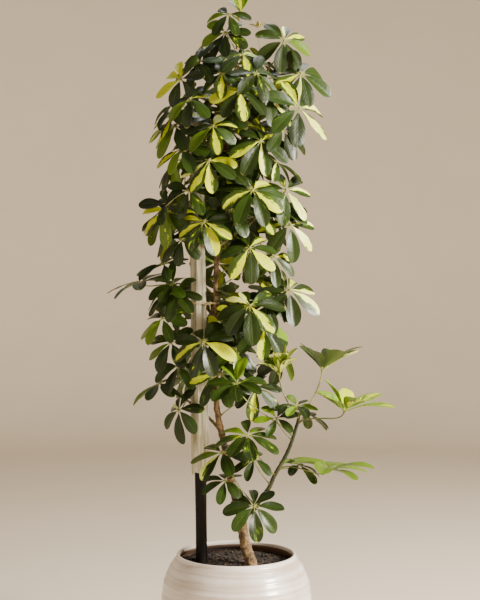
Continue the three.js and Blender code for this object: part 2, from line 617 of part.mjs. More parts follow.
// Thin outline of a leaflet, a little larger than the blade, for bending blades clear of each other
const OUTLINE_TRIANGLES = [
  [0, 1, 2], [0, 2, 3], [1, 4, 5], [1, 5, 2], [2, 5, 6], [2, 6, 3], [4, 7, 5], [5, 7, 6],
];
const OUTLINE_EDGES = [
  [0, 1], [0, 2], [0, 3], [1, 4], [2, 5], [3, 6], [4, 7], [5, 7], [6, 7], [1, 2], [2, 3], [4, 5], [5, 6],
];
const OUTLINE_START = 0.1;
const PROBE_SHARES = [0.05, 0.35, 0.65, 0.95];
const PARALLEL = 1e-9;

function outlineOf(leaf, rib) {
  const [first, second, tip] = rib.stations;
  const rows = [first, second].map((station, k) => {
    const halfWidth = STATION_WIDTHS[k] * HALF_WIDTH * rib.length + BLADE_MARGIN;
    const [left, right] = stationEdges(station, halfWidth);
    return [left, station.centre, right];
  });
  const outwards = tip.centre.clone().sub(second.centre).normalize();
  const end = tip.centre.clone().addScaledVector(outwards, BLADE_MARGIN);
  const points = [between(leaf.hub, first.centre, OUTLINE_START), ...rows.flat(), end];
  const faces = [first, first, first, first, second, second, second, tip].map(({ face }) => face);
  const segments = OUTLINE_EDGES.map(([i, j]) => [points[i], points[j]]);
  for (let i = 1; i < points.length; i += 1) {
    const pin = faces[i].clone().multiplyScalar(BLADE_ROOM);
    segments.push([points[i].clone().sub(pin), points[i].clone().add(pin)]);
  }
  const triangles = OUTLINE_TRIANGLES.map((corners) => corners.map((i) => points[i]));
  const centre = new THREE.Vector3();
  for (const point of points) centre.addScaledVector(point, 1 / points.length);
  const radius = Math.max(...points.map((point) => point.distanceTo(centre))) + BLADE_ROOM;
  return { segments, triangles, centre, radius };
}

function probesOf(outline) {
  return outline.triangles.flatMap(([a, b, c], t) => PROBE_SHARES.flatMap((u) => PROBE_SHARES
    .filter((v) => u + v < 1 + WELD)
    .map((v) => ({
      inner: t < 2,
      point: a.clone().addScaledVector(b.clone().sub(a), u).addScaledVector(c.clone().sub(a), v),
    }))));
}

function crosses([from, to], [a, b, c]) {
  const way = to.clone().sub(from);
  const first = b.clone().sub(a);
  const second = c.clone().sub(a);
  const tilt = way.clone().cross(second);
  const measure = tilt.dot(first);
  if (Math.abs(measure) < PARALLEL) return false;
  const start = from.clone().sub(a);
  const u = start.dot(tilt) / measure;
  if (u < 0 || u > 1) return false;
  const turn = start.cross(first);
  const v = turn.dot(way) / measure;
  if (v < 0 || u + v > 1) return false;
  const t = turn.dot(second) / measure;
  return t >= 0 && t <= 1;
}

function cuts({ segments }, { triangles }) {
  return segments.some((segment) => triangles.some((triangle) => crosses(segment, triangle)));
}

function isClear(leaf, outline, placed, stalks) {
  for (const other of placed) {
    if (other.centre.distanceTo(outline.centre) >= other.radius + outline.radius) continue;
    if (cuts(outline, other) || cuts(other, outline)) return false;
  }
  const probes = probesOf(outline);
  const own = stalks.filter((stalk) => stalk.owner === leaf).slice(0, -1);
  const others = stalks.filter((stalk) => stalk.owner !== leaf
    && clearanceTo(stalk, outline.centre) < outline.radius + PETIOLE_ROOM);
  return probes.every(({ inner, point }) => {
    const apart = (room) => (stalk) => clearanceTo(stalk, point) >= room;
    return others.every(apart(PETIOLE_ROOM)) && (inner || own.every(apart(PETIOLE_RADIUS)));
  });
}

function placeLeaflets(leaf, placed, stalks) {
  const ribs = [];
  const tries = SHRINKS.flatMap((shrink) => LIFTS.map((lift) => [lift, shrink]));
  for (let index = 0; index < leaf.count; index += 1) {
    for (const [lift, shrink] of tries) {
      const rib = leafletRib(leaf, index, lift, shrink);
      const outline = outlineOf(leaf, rib);
      if (isClear(leaf, outline, placed, stalks)) {
        placed.push(outline);
        ribs.push(rib);
        break;
      }
    }
  }
  return ribs;
}

// Petiole: three-sided rings from the stem to the ring under the hub, with its foot closed
function addPetiole(leaf, points, faces) {
  const curve = smoothCurve(leaf.petiole);
  const rings = [];
  let normal = leaf.side;
  for (let k = PETIOLE_RUNS; k >= 0; k -= 1) {
    const along = k === PETIOLE_RUNS ? leaf.axis : curve.getTangentAt(k / PETIOLE_RUNS);
    const centre = curve.getPointAt(k / PETIOLE_RUNS);
    if (k === PETIOLE_RUNS) centre.addScaledVector(leaf.axis, -HUB_HALF_HEIGHT);
    normal = normal.clone().addScaledVector(along, -normal.dot(along)).normalize();
    const other = along.clone().cross(normal);
    rings.unshift(Array.from({ length: PETIOLE_SIDES }, (_, j) => {
      const angle = 2 * Math.PI * j / PETIOLE_SIDES;
      points.push(centre.clone()
        .addScaledVector(normal, PETIOLE_RADIUS * Math.cos(angle))
        .addScaledVector(other, PETIOLE_RADIUS * Math.sin(angle)));
      return points.length - 1;
    }));
  }
  rings.slice(1).forEach((upper, k) => upper.forEach((corner, j) => {
    const next = (j + 1) % PETIOLE_SIDES;
    faces.push([rings[k][j], rings[k][next], upper[next]], [rings[k][j], upper[next], corner]);
  }));
  faces.push([...rings[0]].reverse());
  return rings.at(-1);
}

// Blade of one leaflet: a flat top over a keel, from its share of the hub to a point at the tip
function addBlade(rib, { left, top, right, under }, points, faces) {
  const rings = rib.stations.slice(0, -1).map((station, k) => {
    const [leftEdge, rightEdge] = stationEdges(station, STATION_WIDTHS[k] * HALF_WIDTH * rib.length);
    const keel = station.centre.clone().addScaledVector(station.face, -KEEL_DEPTH);
    return [rightEdge, leftEdge, keel].map((point) => points.push(point) - 1);
  });
  const [near, far] = rings;
  faces.push([right, top, near[0]], [top, near[1], near[0]], [top, left, near[1]]);
  faces.push([left, under, near[2]], [left, near[2], near[1]]);
  faces.push([under, right, near[2]], [right, near[0], near[2]]);
  faces.push([near[0], near[1], far[1]], [near[0], far[1], far[0]]);
  faces.push([near[1], near[2], far[2]], [near[1], far[2], far[1]]);
  faces.push([near[2], near[0], far[2]], [near[0], far[0], far[2]]);
  const tip = points.push(rib.stations.at(-1).centre) - 1;
  far.forEach((corner, j) => faces.push([corner, far[(j + 1) % 3], tip]));
}

// Leaf: one closed body of the petiole, the hub and the blades that share the hub's corners
function leafSolid(leaf) {
  const { ribs, hub, axis, side, up } = leaf;
  const count = ribs.length;
  const points = [];
  const faces = [];
  const petioleTop = addPetiole(leaf, points, faces);
  const hubTop = points.push(hub.clone().addScaledVector(axis, HUB_HALF_HEIGHT)) - 1;
  const notches = ribs.map(({ turn }, i) => {
    const before = ribs.at(i - 1).turn - (i === 0 ? 2 * Math.PI : 0);
    const angle = (before + turn) / 2;
    return points.push(hub.clone()
      .addScaledVector(side, HUB_RADIUS * Math.cos(angle))
      .addScaledVector(up, HUB_RADIUS * Math.sin(angle))) - 1;
  });
  const corner = (k) => petioleTop[(k % PETIOLE_SIDES + PETIOLE_SIDES) % PETIOLE_SIDES];
  const seats = ribs.map(({ turn }) => Math.round(turn * PETIOLE_SIDES / (2 * Math.PI)));
  seats.push(seats[0] + PETIOLE_SIDES);
  ribs.forEach((rib, i) => {
    const notch = notches[(i + 1) % count];
    addBlade(rib, { left: notches[i], top: hubTop, right: notch, under: corner(seats[i]) }, points, faces);
    for (let k = seats[i]; k < seats[i + 1]; k += 1) faces.push([notch, corner(k), corner(k + 1)]);
  });
  const geometry = new THREE.BufferGeometry().setFromPoints(points);
  geometry.setIndex(faces.flat());
  return solidOf(geometry);
}

// The plant is laid out first: stems, then petioles, then blades, each clear of what is there
const leaves = plannedLeaves();
const stems = { trunk: TRUNK, ...SIDE_STEMS };
const stalks = [];
for (const [name, stem] of Object.entries(stems)) {
  addStalk(stalks, stem.map(vector), stem.map((row) => row[3]), name);
}
const stakeEnds = [stakePoint(SOIL_HEIGHT), stakePoint(SLEEVE_TOP)];
addStalk(stalks, stakeEnds, [STAKE_ROOM_RADIUS, STAKE_ROOM_RADIUS], 'stake');
for (const height of Object.values(TIE_HEIGHTS)) {
  const { loop } = tieRoute(height);
  addStalk(stalks, loop, loop.map(() => TIE_RADIUS), 'tie');
}
for (const leaf of leaves) {
  leaf.petiole = clearPetiole(leaf, stems[leaf.stem], stalks);
  addStalk(stalks, leaf.petiole.slice(1), leaf.petiole.slice(1).map(() => PETIOLE_RADIUS), leaf);
}
const placed = [];
for (const leaf of leaves) leaf.ribs = placeLeaflets(leaf, placed, stalks);

// The pieces: what meets the bark is cut off just clear of it
const trunk = stemSolid(TRUNK, TRUNK_SIDES, TRUNK_STEPS);
const trunkRoom = stemSolid(TRUNK, TRUNK_SIDES, TRUNK_STEPS, GAP);
const plant = new THREE.Group();
plant.add(
  meshOf('pot', potSolid(), 'pot'),
  meshOf('potting_soil', soilSolid(trunkRoom, postSolid(GAP)), 'soil'),
  meshOf('stake_post', postSolid(), 'post'),
  meshOf('stake_sleeve', sleeveSolid(), 'sleeve'),
  meshOf('trunk', trunk, 'bark'),
);
for (const [name, height] of Object.entries(TIE_HEIGHTS)) {
  plant.add(meshOf(name, tieSolid(height), 'string'));
}
for (const [name, stem] of Object.entries(SIDE_STEMS)) {
  const span = vector(stem[0]).distanceTo(vector(stem.at(-1)));
  const wood = stemSolid(stem, SIDE_STEM_SIDES, Math.ceil(span / SIDE_STEM_STEP));
  const leafy = leaves
    .filter((leaf) => leaf.stem === name)
    .reduce((sum, leaf) => sum.add(leafSolid(leaf)), wood);
  plant.add(meshOf(name, leafy.subtract(trunkRoom), name === 'young_shoot' ? 'shoot' : 'green'));
}
leaves.filter((leaf) => leaf.stem === 'trunk').forEach((leaf, i) => {
  const name = `leaf_${String(i + 1).padStart(2, '0')}`;
  plant.add(meshOf(name, leafSolid(leaf).subtract(trunkRoom), leaf.finish));
});

export default plant;
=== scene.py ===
"""A potted umbrella plant: a glazed belly pot, its soil, a sleeved stake and a variegated plant.

The tables are in millimetres, with the pot's base at the origin, +Z up and the front towards -Y.
Every finished mesh is in metres.
"""

import json
import logging
import math
from collections.abc import Callable, Iterator, Sequence
from dataclasses import dataclass, field
from enum import Enum
from itertools import pairwise
from typing import Any

import bpy
import numpy as np
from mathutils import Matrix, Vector, noise
from mathutils.kdtree import KDTree


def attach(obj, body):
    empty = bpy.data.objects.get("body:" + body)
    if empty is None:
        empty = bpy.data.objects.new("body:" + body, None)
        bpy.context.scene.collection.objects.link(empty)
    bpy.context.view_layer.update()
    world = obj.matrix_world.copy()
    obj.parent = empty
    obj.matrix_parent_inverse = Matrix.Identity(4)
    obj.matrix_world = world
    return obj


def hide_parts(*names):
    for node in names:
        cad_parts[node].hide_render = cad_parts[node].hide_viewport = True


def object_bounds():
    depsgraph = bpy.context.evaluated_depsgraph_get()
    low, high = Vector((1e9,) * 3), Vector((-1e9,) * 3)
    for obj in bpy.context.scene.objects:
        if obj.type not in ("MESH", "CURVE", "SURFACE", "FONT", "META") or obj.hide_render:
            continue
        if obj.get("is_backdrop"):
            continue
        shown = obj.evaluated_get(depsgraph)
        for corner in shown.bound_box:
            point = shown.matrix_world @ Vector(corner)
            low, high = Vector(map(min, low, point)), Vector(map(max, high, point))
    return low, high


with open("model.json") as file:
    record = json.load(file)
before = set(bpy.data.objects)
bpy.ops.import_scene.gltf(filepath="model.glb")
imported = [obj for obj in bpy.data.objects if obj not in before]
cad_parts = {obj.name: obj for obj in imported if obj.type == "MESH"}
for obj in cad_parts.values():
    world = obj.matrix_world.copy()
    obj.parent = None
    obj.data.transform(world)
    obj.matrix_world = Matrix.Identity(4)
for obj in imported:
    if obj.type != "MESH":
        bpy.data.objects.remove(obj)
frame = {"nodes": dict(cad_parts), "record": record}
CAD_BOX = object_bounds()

LOG = logging.getLogger("umbrella_plant")
MM = 0.001
BODY = "root"
UP = np.array([0.0, 0.0, 1.0])

Point = tuple[float, float, float]
Colour = tuple[float, float, float, float]
Profile = list[tuple[float, float]]
LeafRow = tuple[float, float, float, float, float, float, float, float, str]
Piece = bpy.types.Object
Material = bpy.types.Material


class Marking(Enum):
    """How a leaflet is coloured, by its letter in the table of leaves."""

    PLAIN = "g"
    LIGHT = "l"
    NEW = "n"
    FLAME = "f"
    HALF = "h"
    GOLD = "y"
    EDGED = "s"
    CREAM = "c"
    PALE = "p"
    DRY = "b"


# Stems: across, back, height and radius
ROOT_HEIGHT = 215
STEMS: dict[str, list[tuple[float, float, float, float]]] = {
    "trunk": [
        (42, -37, ROOT_HEIGHT, 16.5), (40, -35, 303, 15.5), (28, -30, 343, 14.5), (18, -24, 390, 13.5),
        (12, -20, 430, 12.5), (-1, -14, 480, 11.5), (-14, -8, 523, 11), (-32, 0, 616, 9.5),
        (-46, 4, 677, 8.5), (-53, 5, 740, 8), (-55, 5, 870, 7.5), (-56, 5, 1000, 7),
        (-53, 5, 1090, 7), (-48, 5, 1220, 6.5), (-34, 5, 1360, 6), (-14, 3, 1500, 5),
        (0, 0, 1620, 4.2), (4, 0, 1705, 3.5),
    ],
    "young_shoot": [
        (11, -20, 420, 7), (32, -38, 440, 7.2), (49, -48, 456, 7), (62, -50, 478, 7), (86, -52, 511, 6.6),
        (100, -54, 543, 6.4), (123, -56, 583, 6), (141, -57, 622, 5.5), (159, -58, 678, 5),
        (164, -58, 700, 3.5),
    ],
    "twig_top_right": [(-23, 4, 1440, 4.5), (16, 9, 1500, 4), (56, -2, 1560, 3.6), (88, -12, 1616, 3)],
    "twig_top_left": [(-34, 5, 1375, 4.5), (-64, 38, 1425, 4), (-106, 44, 1480, 3.6), (-132, 26, 1530, 3)],
    "twig_mid_left": [(-53, 5, 1120, 4.5), (-80, 40, 1152, 4), (-122, 44, 1182, 3.6), (-152, 18, 1206, 3)],
    "twig_right": [(-50, 5, 1140, 4.5), (-8, -4, 1172, 4), (36, -12, 1204, 3.6), (68, -16, 1232, 3)],
    "twig_left": [(-56, 5, 950, 4.5), (-80, 40, 978, 4), (-122, 44, 1006, 3.6), (-160, 20, 1034, 3)],
    "twig_low_right": [(-56, 5, 900, 4.5), (-16, -6, 936, 4), (24, -16, 970, 3.6), (58, -20, 1000, 3)],
    "twig_low_left": [(-40, 2, 650, 4.5), (-70, 38, 680, 4), (-110, 46, 712, 3.6), (-144, 24, 742, 3)],
}

# Leaves of each stem: the hub's place across, back and up, the leaflets' length, the way the leaf faces
# round the plant (-90 is to the front) and upwards, its droop, its spin and the marking of each leaflet,
# from the right-hand one counter-clockwise
LEAVES: list[tuple[str, list[LeafRow]]] = [
    ("trunk", [
        (12, 0, 1762, 64, -90, 78, -62, 20, "nnnnnn"), (-20, -36, 1750, 74, -105, 42, 4, 0, "gcglgg"),
        (-28, -44, 1700, 84, -112, 26, 4, 10, "gggllggg"), (16, -58, 1639, 87, -85, 44, 6, 5, "lfggggfg"),
        (-84, 0, 1666, 84, -140, 42, 6, 0, "ggllfgg"), (-36, -84, 1586, 84, -110, 39, 8, 15, "gggggfg"),
        (10, -104, 1536, 91, -88, 38, 7, 4, "llgfygfg"), (-60, -112, 1444, 84, -100, 39, 7, 25, "fygglfg"),
        (62, -114, 1406, 99, -80, 33, 7, 4, "gfggghgsg"), (-14, -66, 1492, 80, -120, 40, 10, 12, "ggggggg"),
        (-70, -112, 1356, 91, -98, 35, 8, 12, "ygggsfhg"), (0, -84, 1352, 84, -75, 35, 11, 20, "ggggggg"),
        (42, -124, 1280, 101, -84, 34, 7, 8, "gygggfggh"), (-16, -66, 1236, 86, -100, 37, 11, 0, "ggggggg"),
        (-82, -112, 1200, 89, -98, 32, 7, 20, "gggffghf"), (34, -114, 1134, 91, -84, 32, 7, 5, "gfggghgy"),
        (34, -124, 986, 106, -82, 37, 8, 0, "ggscgggf"), (-84, -112, 894, 99, -96, 34, 8, 22, "ggggfggy"),
        (-2, -70, 874, 87, -70, 38, 9, 8, "ggggglg"), (-40, -94, 812, 97, -98, 38, 9, 30, "gggfggg"),
        (-28, -72, 533, 74, -105, 58, 4, 10, "ggggggg"), (-102, -44, 1622, 84, -125, 34, 6, 5, "gggffgg"),
        (52, -96, 1582, 84, -70, 40, 9, 20, "ggggggg"), (-4, 112, 1648, 84, 95, 44, 11, 0, "gfgglgg"),
        (46, 110, 1556, 86, 70, 42, 13, 20, "gggsgyg"), (-58, 128, 1500, 86, 110, 41, 13, 0, "ggfgggyg"),
        (50, 140, 1404, 87, 72, 39, 13, 5, "glgggfgg"), (-64, 146, 1330, 87, 105, 39, 13, 15, "ggggsggg"),
        (32, 150, 1268, 87, 76, 39, 13, 0, "gyggfggg"), (-40, 156, 1176, 87, 98, 39, 13, 25, "gggggglg"),
        (56, 124, 1106, 86, 60, 39, 13, 0, "gfgcggg"), (-24, 148, 1010, 87, 88, 39, 13, 20, "ggggygfg"),
        (62, 104, 930, 84, 55, 39, 14, 0, "ggglggg"), (-24, 130, 836, 84, 92, 39, 14, 5, "gfggggg"),
    ]),
    ("twig_top_right", [
        (126, -24, 1684, 93, -80, 24, 3, 30, "fsgggggl"), (170, -38, 1594, 103, -74, 30, 8, 15, "ggggfsgg"),
        (82, -72, 1532, 87, -80, 38, 9, 9, "gggfggs"), (162, -76, 1496, 108, -78, 30, 10, 10, "sgfgggc"),
        (122, -92, 1438, 88, -70, 37, 10, 25, "ggggggg"), (70, 48, 1640, 84, 40, 46, 10, 0, "ggfgggg"),
        (136, 42, 1500, 89, 12, 40, 15, 4, "ggggsgg"), (58, -10, 1722, 24, -90, 80, -40, 0, "bbbb"),
    ]),
    ("twig_top_left", [
        (-144, -44, 1578, 84, -110, 24, 3, 0, "ggyyygg"),
        (-120, -80, 1520, 86, -115, 39, 10, 20, "fglglgg"),
        (-160, -34, 1456, 99, -135, 42, 16, 0, "ggggflg"),
        (-170, -10, 1516, 84, -145, 52, 8, 15, "ggglggg"),
        (-122, 100, 1560, 86, 130, 44, 14, 10, "gglgfgg"),
    ]),
    ("twig_mid_left", [
        (-166, 0, 1364, 89, -150, 50, 12, 10, "fgsgggl"), (-142, -66, 1394, 86, -120, 42, 9, 0, "ggggflg"),
        (-140, -64, 1160, 84, -115, 38, 10, 20, "ggggggg"),
        (-182, -42, 1233, 92, -105, 28, 6, 12, "fggyhlg"),
        (-120, -78, 1284, 84, -110, 40, 12, 0, "ggggsgg"), (-152, 60, 1300, 87, 150, 46, 13, 5, "ggfgggg"),
        (-176, 66, 1176, 86, 150, 42, 13, 15, "glgggyg"),
    ]),
    ("twig_right", [
        (130, -54, 1287, 97, -72, 30, 10, 0, "sgggggc"), (140, -58, 1196, 104, -75, 28, 12, 20, "sggfggc"),
        (98, -74, 1112, 80, -65, 35, 10, 10, "fgggggg"), (98, 44, 1230, 89, 25, 42, 12, 0, "ggsgggg"),
        (106, -10, 1366, 89, -20, 46, 10, 10, "ggggsgg"),
    ]),
    ("twig_left", [
        (-190, -32, 1094, 84, -130, 58, -4, 0, "ggglggg"),
        (-250, -10, 1048, 106, -150, 70, -12, 25, "ggggggg"),
        (-154, -58, 1018, 82, -110, 46, 7, 10, "gggfggg"), (-194, -18, 952, 90, -120, 42, 6, 0, "ggggllg"),
        (-190, 80, 1034, 84, 140, 46, 12, 10, "ggggfgg"),
    ]),
    ("twig_low_right", [
        (138, -64, 1026, 106, -75, 32, 8, 15, "sfggggs"), (72, -80, 930, 95, -72, 40, 11, 5, "lfggghg"),
        (98, 40, 1020, 89, 20, 42, 12, 0, "ggggggg"),
    ]),
    ("twig_low_left", [
        (-170, -42, 890, 90, -115, 40, 6, 5, "gggglgg"), (-202, -4, 780, 96, -150, 66, 2, 0, "ggggllg"),
        (-152, -28, 712, 88, -130, 22, 14, 15, "gggsggg"),
        (-152, -34, 828, 86, -120, 48, 10, 20, "ggggggg"),
        (-124, 96, 800, 84, 120, 39, 14, 0, "gggfggg"),
    ]),
    ("young_shoot", [
        (112, -64, 806, 100, -90, 78, -78, 0, "pppppppp"),
        (224, -58, 816, 120, -20, 82, -50, 13, "gggggss"),
        (282, -56, 710, 134, -20, 82, -32, 13, "ynnnnnn"), (156, -92, 728, 60, -90, 70, -10, 0, "lglglg"),
        (2, -122, 788, 92, -100, 62, -8, 20, "gllgggg"), (30, -124, 657, 98, -100, 62, -6, 20, "glglgggg"),
        (104, -92, 696, 66, -90, 50, -10, 10, "ggllgg"), (239, -68, 560, 134, -20, 84, -20, 0, "llllllll"),
        (166, -20, 566, 72, -40, 66, 0, 25, "gglggg"), (-36, -92, 608, 92, -120, 60, 2, 0, "gggglsg"),
        (48, -96, 592, 72, -90, 58, 4, 15, "gggggg"), (47, -92, 470, 92, -90, 42, 8, 5, "gggggggg"),
        (184, 4, 700, 78, 30, 60, 0, 5, "ggggggg"),
    ]),
    ("trunk", [
        (118, -40, 862, 90, -60, 26, 18, 0, "fgggggl"), (50, -74, 776, 84, -85, 34, 12, 10, "gggggfg"),
    ]),
]

# The rule that bends petioles and leaflets clear of each other
RIB_STEPS = 24
TURN_SPREAD = 14
LENGTH_SPREAD = 0.16
UPPER_SHORTENING = 0.1
MEAN_SHARE = 0.9
DROOP_SPREAD = 16
BEND = 10
BEND_SPREAD = 18
ROLL_SPREAD = 26
SAG = 0.2
HALF_WIDTH = 0.168
LIFTS = (0, 8, -8, 16, -16, 24, -24, 32, -32, 40, -40)
SHRINKS = (1, 0.85, 0.7)
FOOT_MOVES = (0, 8, -8, 16, -16, 24, -24, 32, -32, 40, 48, 56)
FOOT_STEP = 2
FOOT_DROP = 18
FOOT_DROP_SHARE = 0.45
STEM_BARE_SHARE = 0.15
PETIOLE_STEPS = 6
PETIOLE_RADIUS = 1.8
PETIOLE_ROOM = 2
PETIOLE_OUT = 0.8
PETIOLE_UP = 0.75
PETIOLE_START_PULL = 0.36
PETIOLE_END_PULL = 0.3
STAKE_ROOM_RADIUS = 25
STAKE_DETOUR = 1.7
RANDOM_SEED = 20
DRAW_FACTOR = 16807
DRAW_RANGE = 2147483647
SAME_PLACE = 0.05

# Leaflets' usual length, and how much stouter than usual a long leaf's stalk gets
USUAL_LENGTH = 84
STOUTEST = 1.15

# Stake
SOIL_HEIGHT = 305
STAKE_X = -92
STAKE_Y = 10
STAKE_LEAN = 0.7
SLEEVE_TOP = 1476


def colour(red: int, green: int, blue: int) -> Colour:
    """Linear colour of a screen colour given from 0 to 255."""
    def linear(value: float) -> float:
        """Linear share of a screen value from 0 to 1."""
        return value / 12.92 if value <= 0.04045 else ((value + 0.055) / 1.055) ** 2.4

    return linear(red / 255), linear(green / 255), linear(blue / 255), 1.0


def unit(vectors: np.ndarray) -> np.ndarray:
    """The vectors, each scaled to length 1."""
    return vectors / np.linalg.norm(vectors, axis=-1, keepdims=True)


def heading(turn: float, tilt: float) -> np.ndarray:
    """The direction at a turn round the plant and a tilt upwards, both in radians."""
    level = math.cos(tilt)
    return np.array([math.cos(turn) * level, math.sin(turn) * level, math.sin(tilt)])


def hump(distance: np.ndarray, width: float) -> np.ndarray:
    """A smooth hump of height 1 that fades over a width."""
    return np.exp(-((distance / width) ** 2))


def way_along(points: np.ndarray) -> np.ndarray:
    """The way along a path to each of its points."""
    return np.concatenate([[0], np.cumsum(np.linalg.norm(np.diff(points[:, :3], axis=0), axis=1))])


def smooth_path(rows: Sequence[Sequence[float]], count: int) -> np.ndarray:
    """Evenly spaced points on the Catmull-Rom curve through rows of numbers.

    Args:
        rows: The points that the curve passes, with a radius or the like behind each place if wanted.
        count: How many points are wanted.

    Returns:
        An array of count rows, evenly spaced by the way along the curve.
    """
    given = np.array(rows, float)
    ends = np.vstack([2 * given[0] - given[1], given, 2 * given[-1] - given[-2]])
    share = np.linspace(0, 1, 33)[:-1, None]
    runs = []
    for before, start, end, after in zip(ends, ends[1:], ends[2:], ends[3:]):
        out, into = (end - before) / 2, (after - start) / 2
        curve = start + out * share + (3 * (end - start) - 2 * out - into) * share**2
        runs.append(curve + (2 * (start - end) + out + into) * share**3)
    dense = np.vstack([*runs, given[-1:]])
    way = way_along(dense)
    wanted = np.linspace(0, way[-1], count)
    return np.column_stack([np.interp(wanted, way, column) for column in dense.T])


def stem_at(name: str, height: Any) -> np.ndarray:
    """A stem's place across, back and up and its radius, at a height or at each of several heights."""
    rows = np.array(STEMS[name], float)
    return np.stack([np.interp(height, rows[:, 2], column) for column in rows.T], axis=-1)


def stem_path(name: str, pitch: float) -> np.ndarray:
    """Places and radii along a stem, about a pitch apart."""
    span = sum(math.dist(low[:3], high[:3]) for low, high in pairwise(STEMS[name]))
    return smooth_path(STEMS[name], int(span / pitch))


def stake_x(height: Any) -> Any:
    """The leaning stake's place across, at a height or at each of several heights."""
    return STAKE_X - math.tan(math.radians(STAKE_LEAN)) * (height - SOIL_HEIGHT)


@dataclass
class Run:
    """A path with a radius at each point, in millimetres, and the number of its finish."""

    points: np.ndarray
    radii: np.ndarray
    finish: int = 0


def select(*pieces: Piece) -> None:
    """Leaves edit mode and selects only these pieces, with the first one active.

    Args:
        pieces: The pieces, or none to deselect every object.
    """
    if bpy.context.object is not None and bpy.context.object.mode != "OBJECT":
        bpy.ops.object.mode_set(mode="OBJECT")
    bpy.ops.object.select_all(action="DESELECT")
    for piece in pieces:
        piece.select_set(True)
    if pieces:
        bpy.context.view_layer.objects.active = pieces[0]


def enter_edit(action: str = "SELECT") -> None:
    """Opens the active piece in edit mode with all of it selected, or deselected."""
    bpy.ops.object.mode_set(mode="EDIT")
    bpy.ops.mesh.select_all(action=action)


def close_edit(inside: bool = False) -> None:
    """Turns the faces of the piece in edit mode out, or inside, and leaves edit mode."""
    bpy.ops.mesh.select_all(action="SELECT")
    bpy.ops.mesh.normals_make_consistent(inside=inside)
    bpy.ops.object.mode_set(mode="OBJECT")


def new_ball() -> Piece:
    """A small round lump of radius 1, of 80 faces."""
    select()
    bpy.ops.mesh.primitive_ico_sphere_add(subdivisions=2, radius=1, location=(0, 0, 0))
    return bpy.context.object


def turned(
    name: str, profile: Profile, sides: int, finishes: Sequence[Material], filled: bool = True
) -> Piece:
    """Draws up a turned shape: a ring is extruded from each height of a profile to the next.

    Args:
        name: The piece's name.
        profile: Radius and height of each ring, in millimetres, in the order that they are drawn up.
        sides: Number of sides round.
        finishes: The piece's materials.
        filled: Whether the first and the last ring are closed by a face.

    Returns:
        The new piece, with its place in its mesh and its faces pointing out.
    """
    select()
    rings = [(radius * MM, height * MM) for radius, height in profile]
    bpy.ops.mesh.primitive_circle_add(
        vertices=sides, radius=rings[0][0], fill_type="NGON" if filled else "NOTHING", location=(0, 0, 0)
    )
    piece = bpy.context.object
    piece.name = name
    enter_edit()
    bpy.ops.transform.translate(value=(0, 0, rings[0][1]))
    for (radius, height), (next_radius, next_height) in pairwise(rings):
        bpy.ops.mesh.extrude_region_move(
            TRANSFORM_OT_translate={"value": (0, 0, next_height - height)}
        )
        ratio = next_radius / radius
        bpy.ops.transform.resize(value=(ratio, ratio, 1), center_override=(0, 0, 0))
    close_edit()
    for finish in finishes:
        piece.data.materials.append(finish)
    return piece


def tubes(name: str, runs: Sequence[Run], sides: int, finishes: Sequence[Material]) -> Piece:
    """Sweeps round sections along paths, and turns them into one mesh.

    Args:
        name: The piece's name.
        runs: The paths with their radii.
        sides: Number of sides of each section, even and 4 or more.
        finishes: The materials that the runs choose from.

    Returns:
        The new piece, with closed ends.
    """
    curve = bpy.data.curves.new(name, "CURVE")
    for finish in finishes:
        curve.materials.append(finish)
    curve.dimensions = "3D"
    curve.bevel_depth = MM
    curve.bevel_resolution = (sides - 4) // 2
    curve.use_fill_caps = True
    for run in runs:
        spline = curve.splines.new("POLY")
        spline.points.add(len(run.points) - 1)
        places = np.column_stack([run.points[:, :3] * MM, np.ones(len(run.points))])
        spline.points.foreach_set("co", places.ravel())
        spline.points.foreach_set("radius", run.radii)
        spline.material_index = run.finish
    select(put(name, curve))
    bpy.ops.object.convert(target="MESH")
    enter_edit()
    bpy.ops.mesh.remove_doubles(threshold=1e-6)
    close_edit()
    return bpy.context.object


def put(name: str, data: Any) -> Piece:
    """Puts a mesh, curve, camera or light into the scene, at the origin."""
    piece = bpy.data.objects.new(name, data)
    bpy.context.scene.collection.objects.link(piece)
    return piece


def modify(piece: Piece, kind: str, **settings: Any) -> None:
    """Gives a piece a modifier with these settings, and applies it.

    Args:
        piece: The piece.
        kind: The modifier's type.
        settings: The modifier's own options.
    """
    select(piece)
    modifier = piece.modifiers.new(kind.lower(), kind)
    for name, value in settings.items():
        setattr(modifier, name, value)
    bpy.ops.object.modifier_apply(modifier=modifier.name)


def roughen(piece: Piece, size: float, strength: float) -> None:
    """Roughens a piece with a cloud pattern, with the size and height of the clouds in metres.

    Args:
        piece: The piece.
        size: Size of the clouds.
        strength: Height of the clouds.
    """
    clouds = bpy.data.textures.new(f"{piece.name}_clouds", "CLOUDS")
    clouds.noise_scale = size
    modify(piece, "DISPLACE", texture=clouds, texture_coords="LOCAL", strength=strength, mid_level=0.5)


def thicken(piece: Piece, wall: float) -> None:
    """Gives a sheet a wall inwards, of a thickness in metres."""
    modify(piece, "SOLIDIFY", thickness=wall, offset=-1)


def join(first: Piece, *others: Piece) -> Piece:
    """Joins pieces into the first one."""
    select(first, *others)
    bpy.ops.object.join()
    return first


def smooth(piece: Piece, sharpest: float) -> None:
    """Shades a piece smooth, but for edges sharper than an angle in degrees."""
    select(piece)
    bpy.ops.object.shade_smooth_by_angle(angle=math.radians(sharpest))


def corner_places(piece: Piece) -> np.ndarray:
    """Places of a piece's corners, in metres."""
    places = np.empty(len(piece.data.vertices) * 3)
    piece.data.vertices.foreach_get("co", places)
    return places.reshape(-1, 3)


def move_corners(piece: Piece, rule: Callable[[np.ndarray], np.ndarray]) -> None:
    """Moves a piece's corners by a rule that takes their places and gives new ones, in metres."""
    piece.data.vertices.foreach_set("co", rule(corner_places(piece)).ravel())
    piece.data.update()


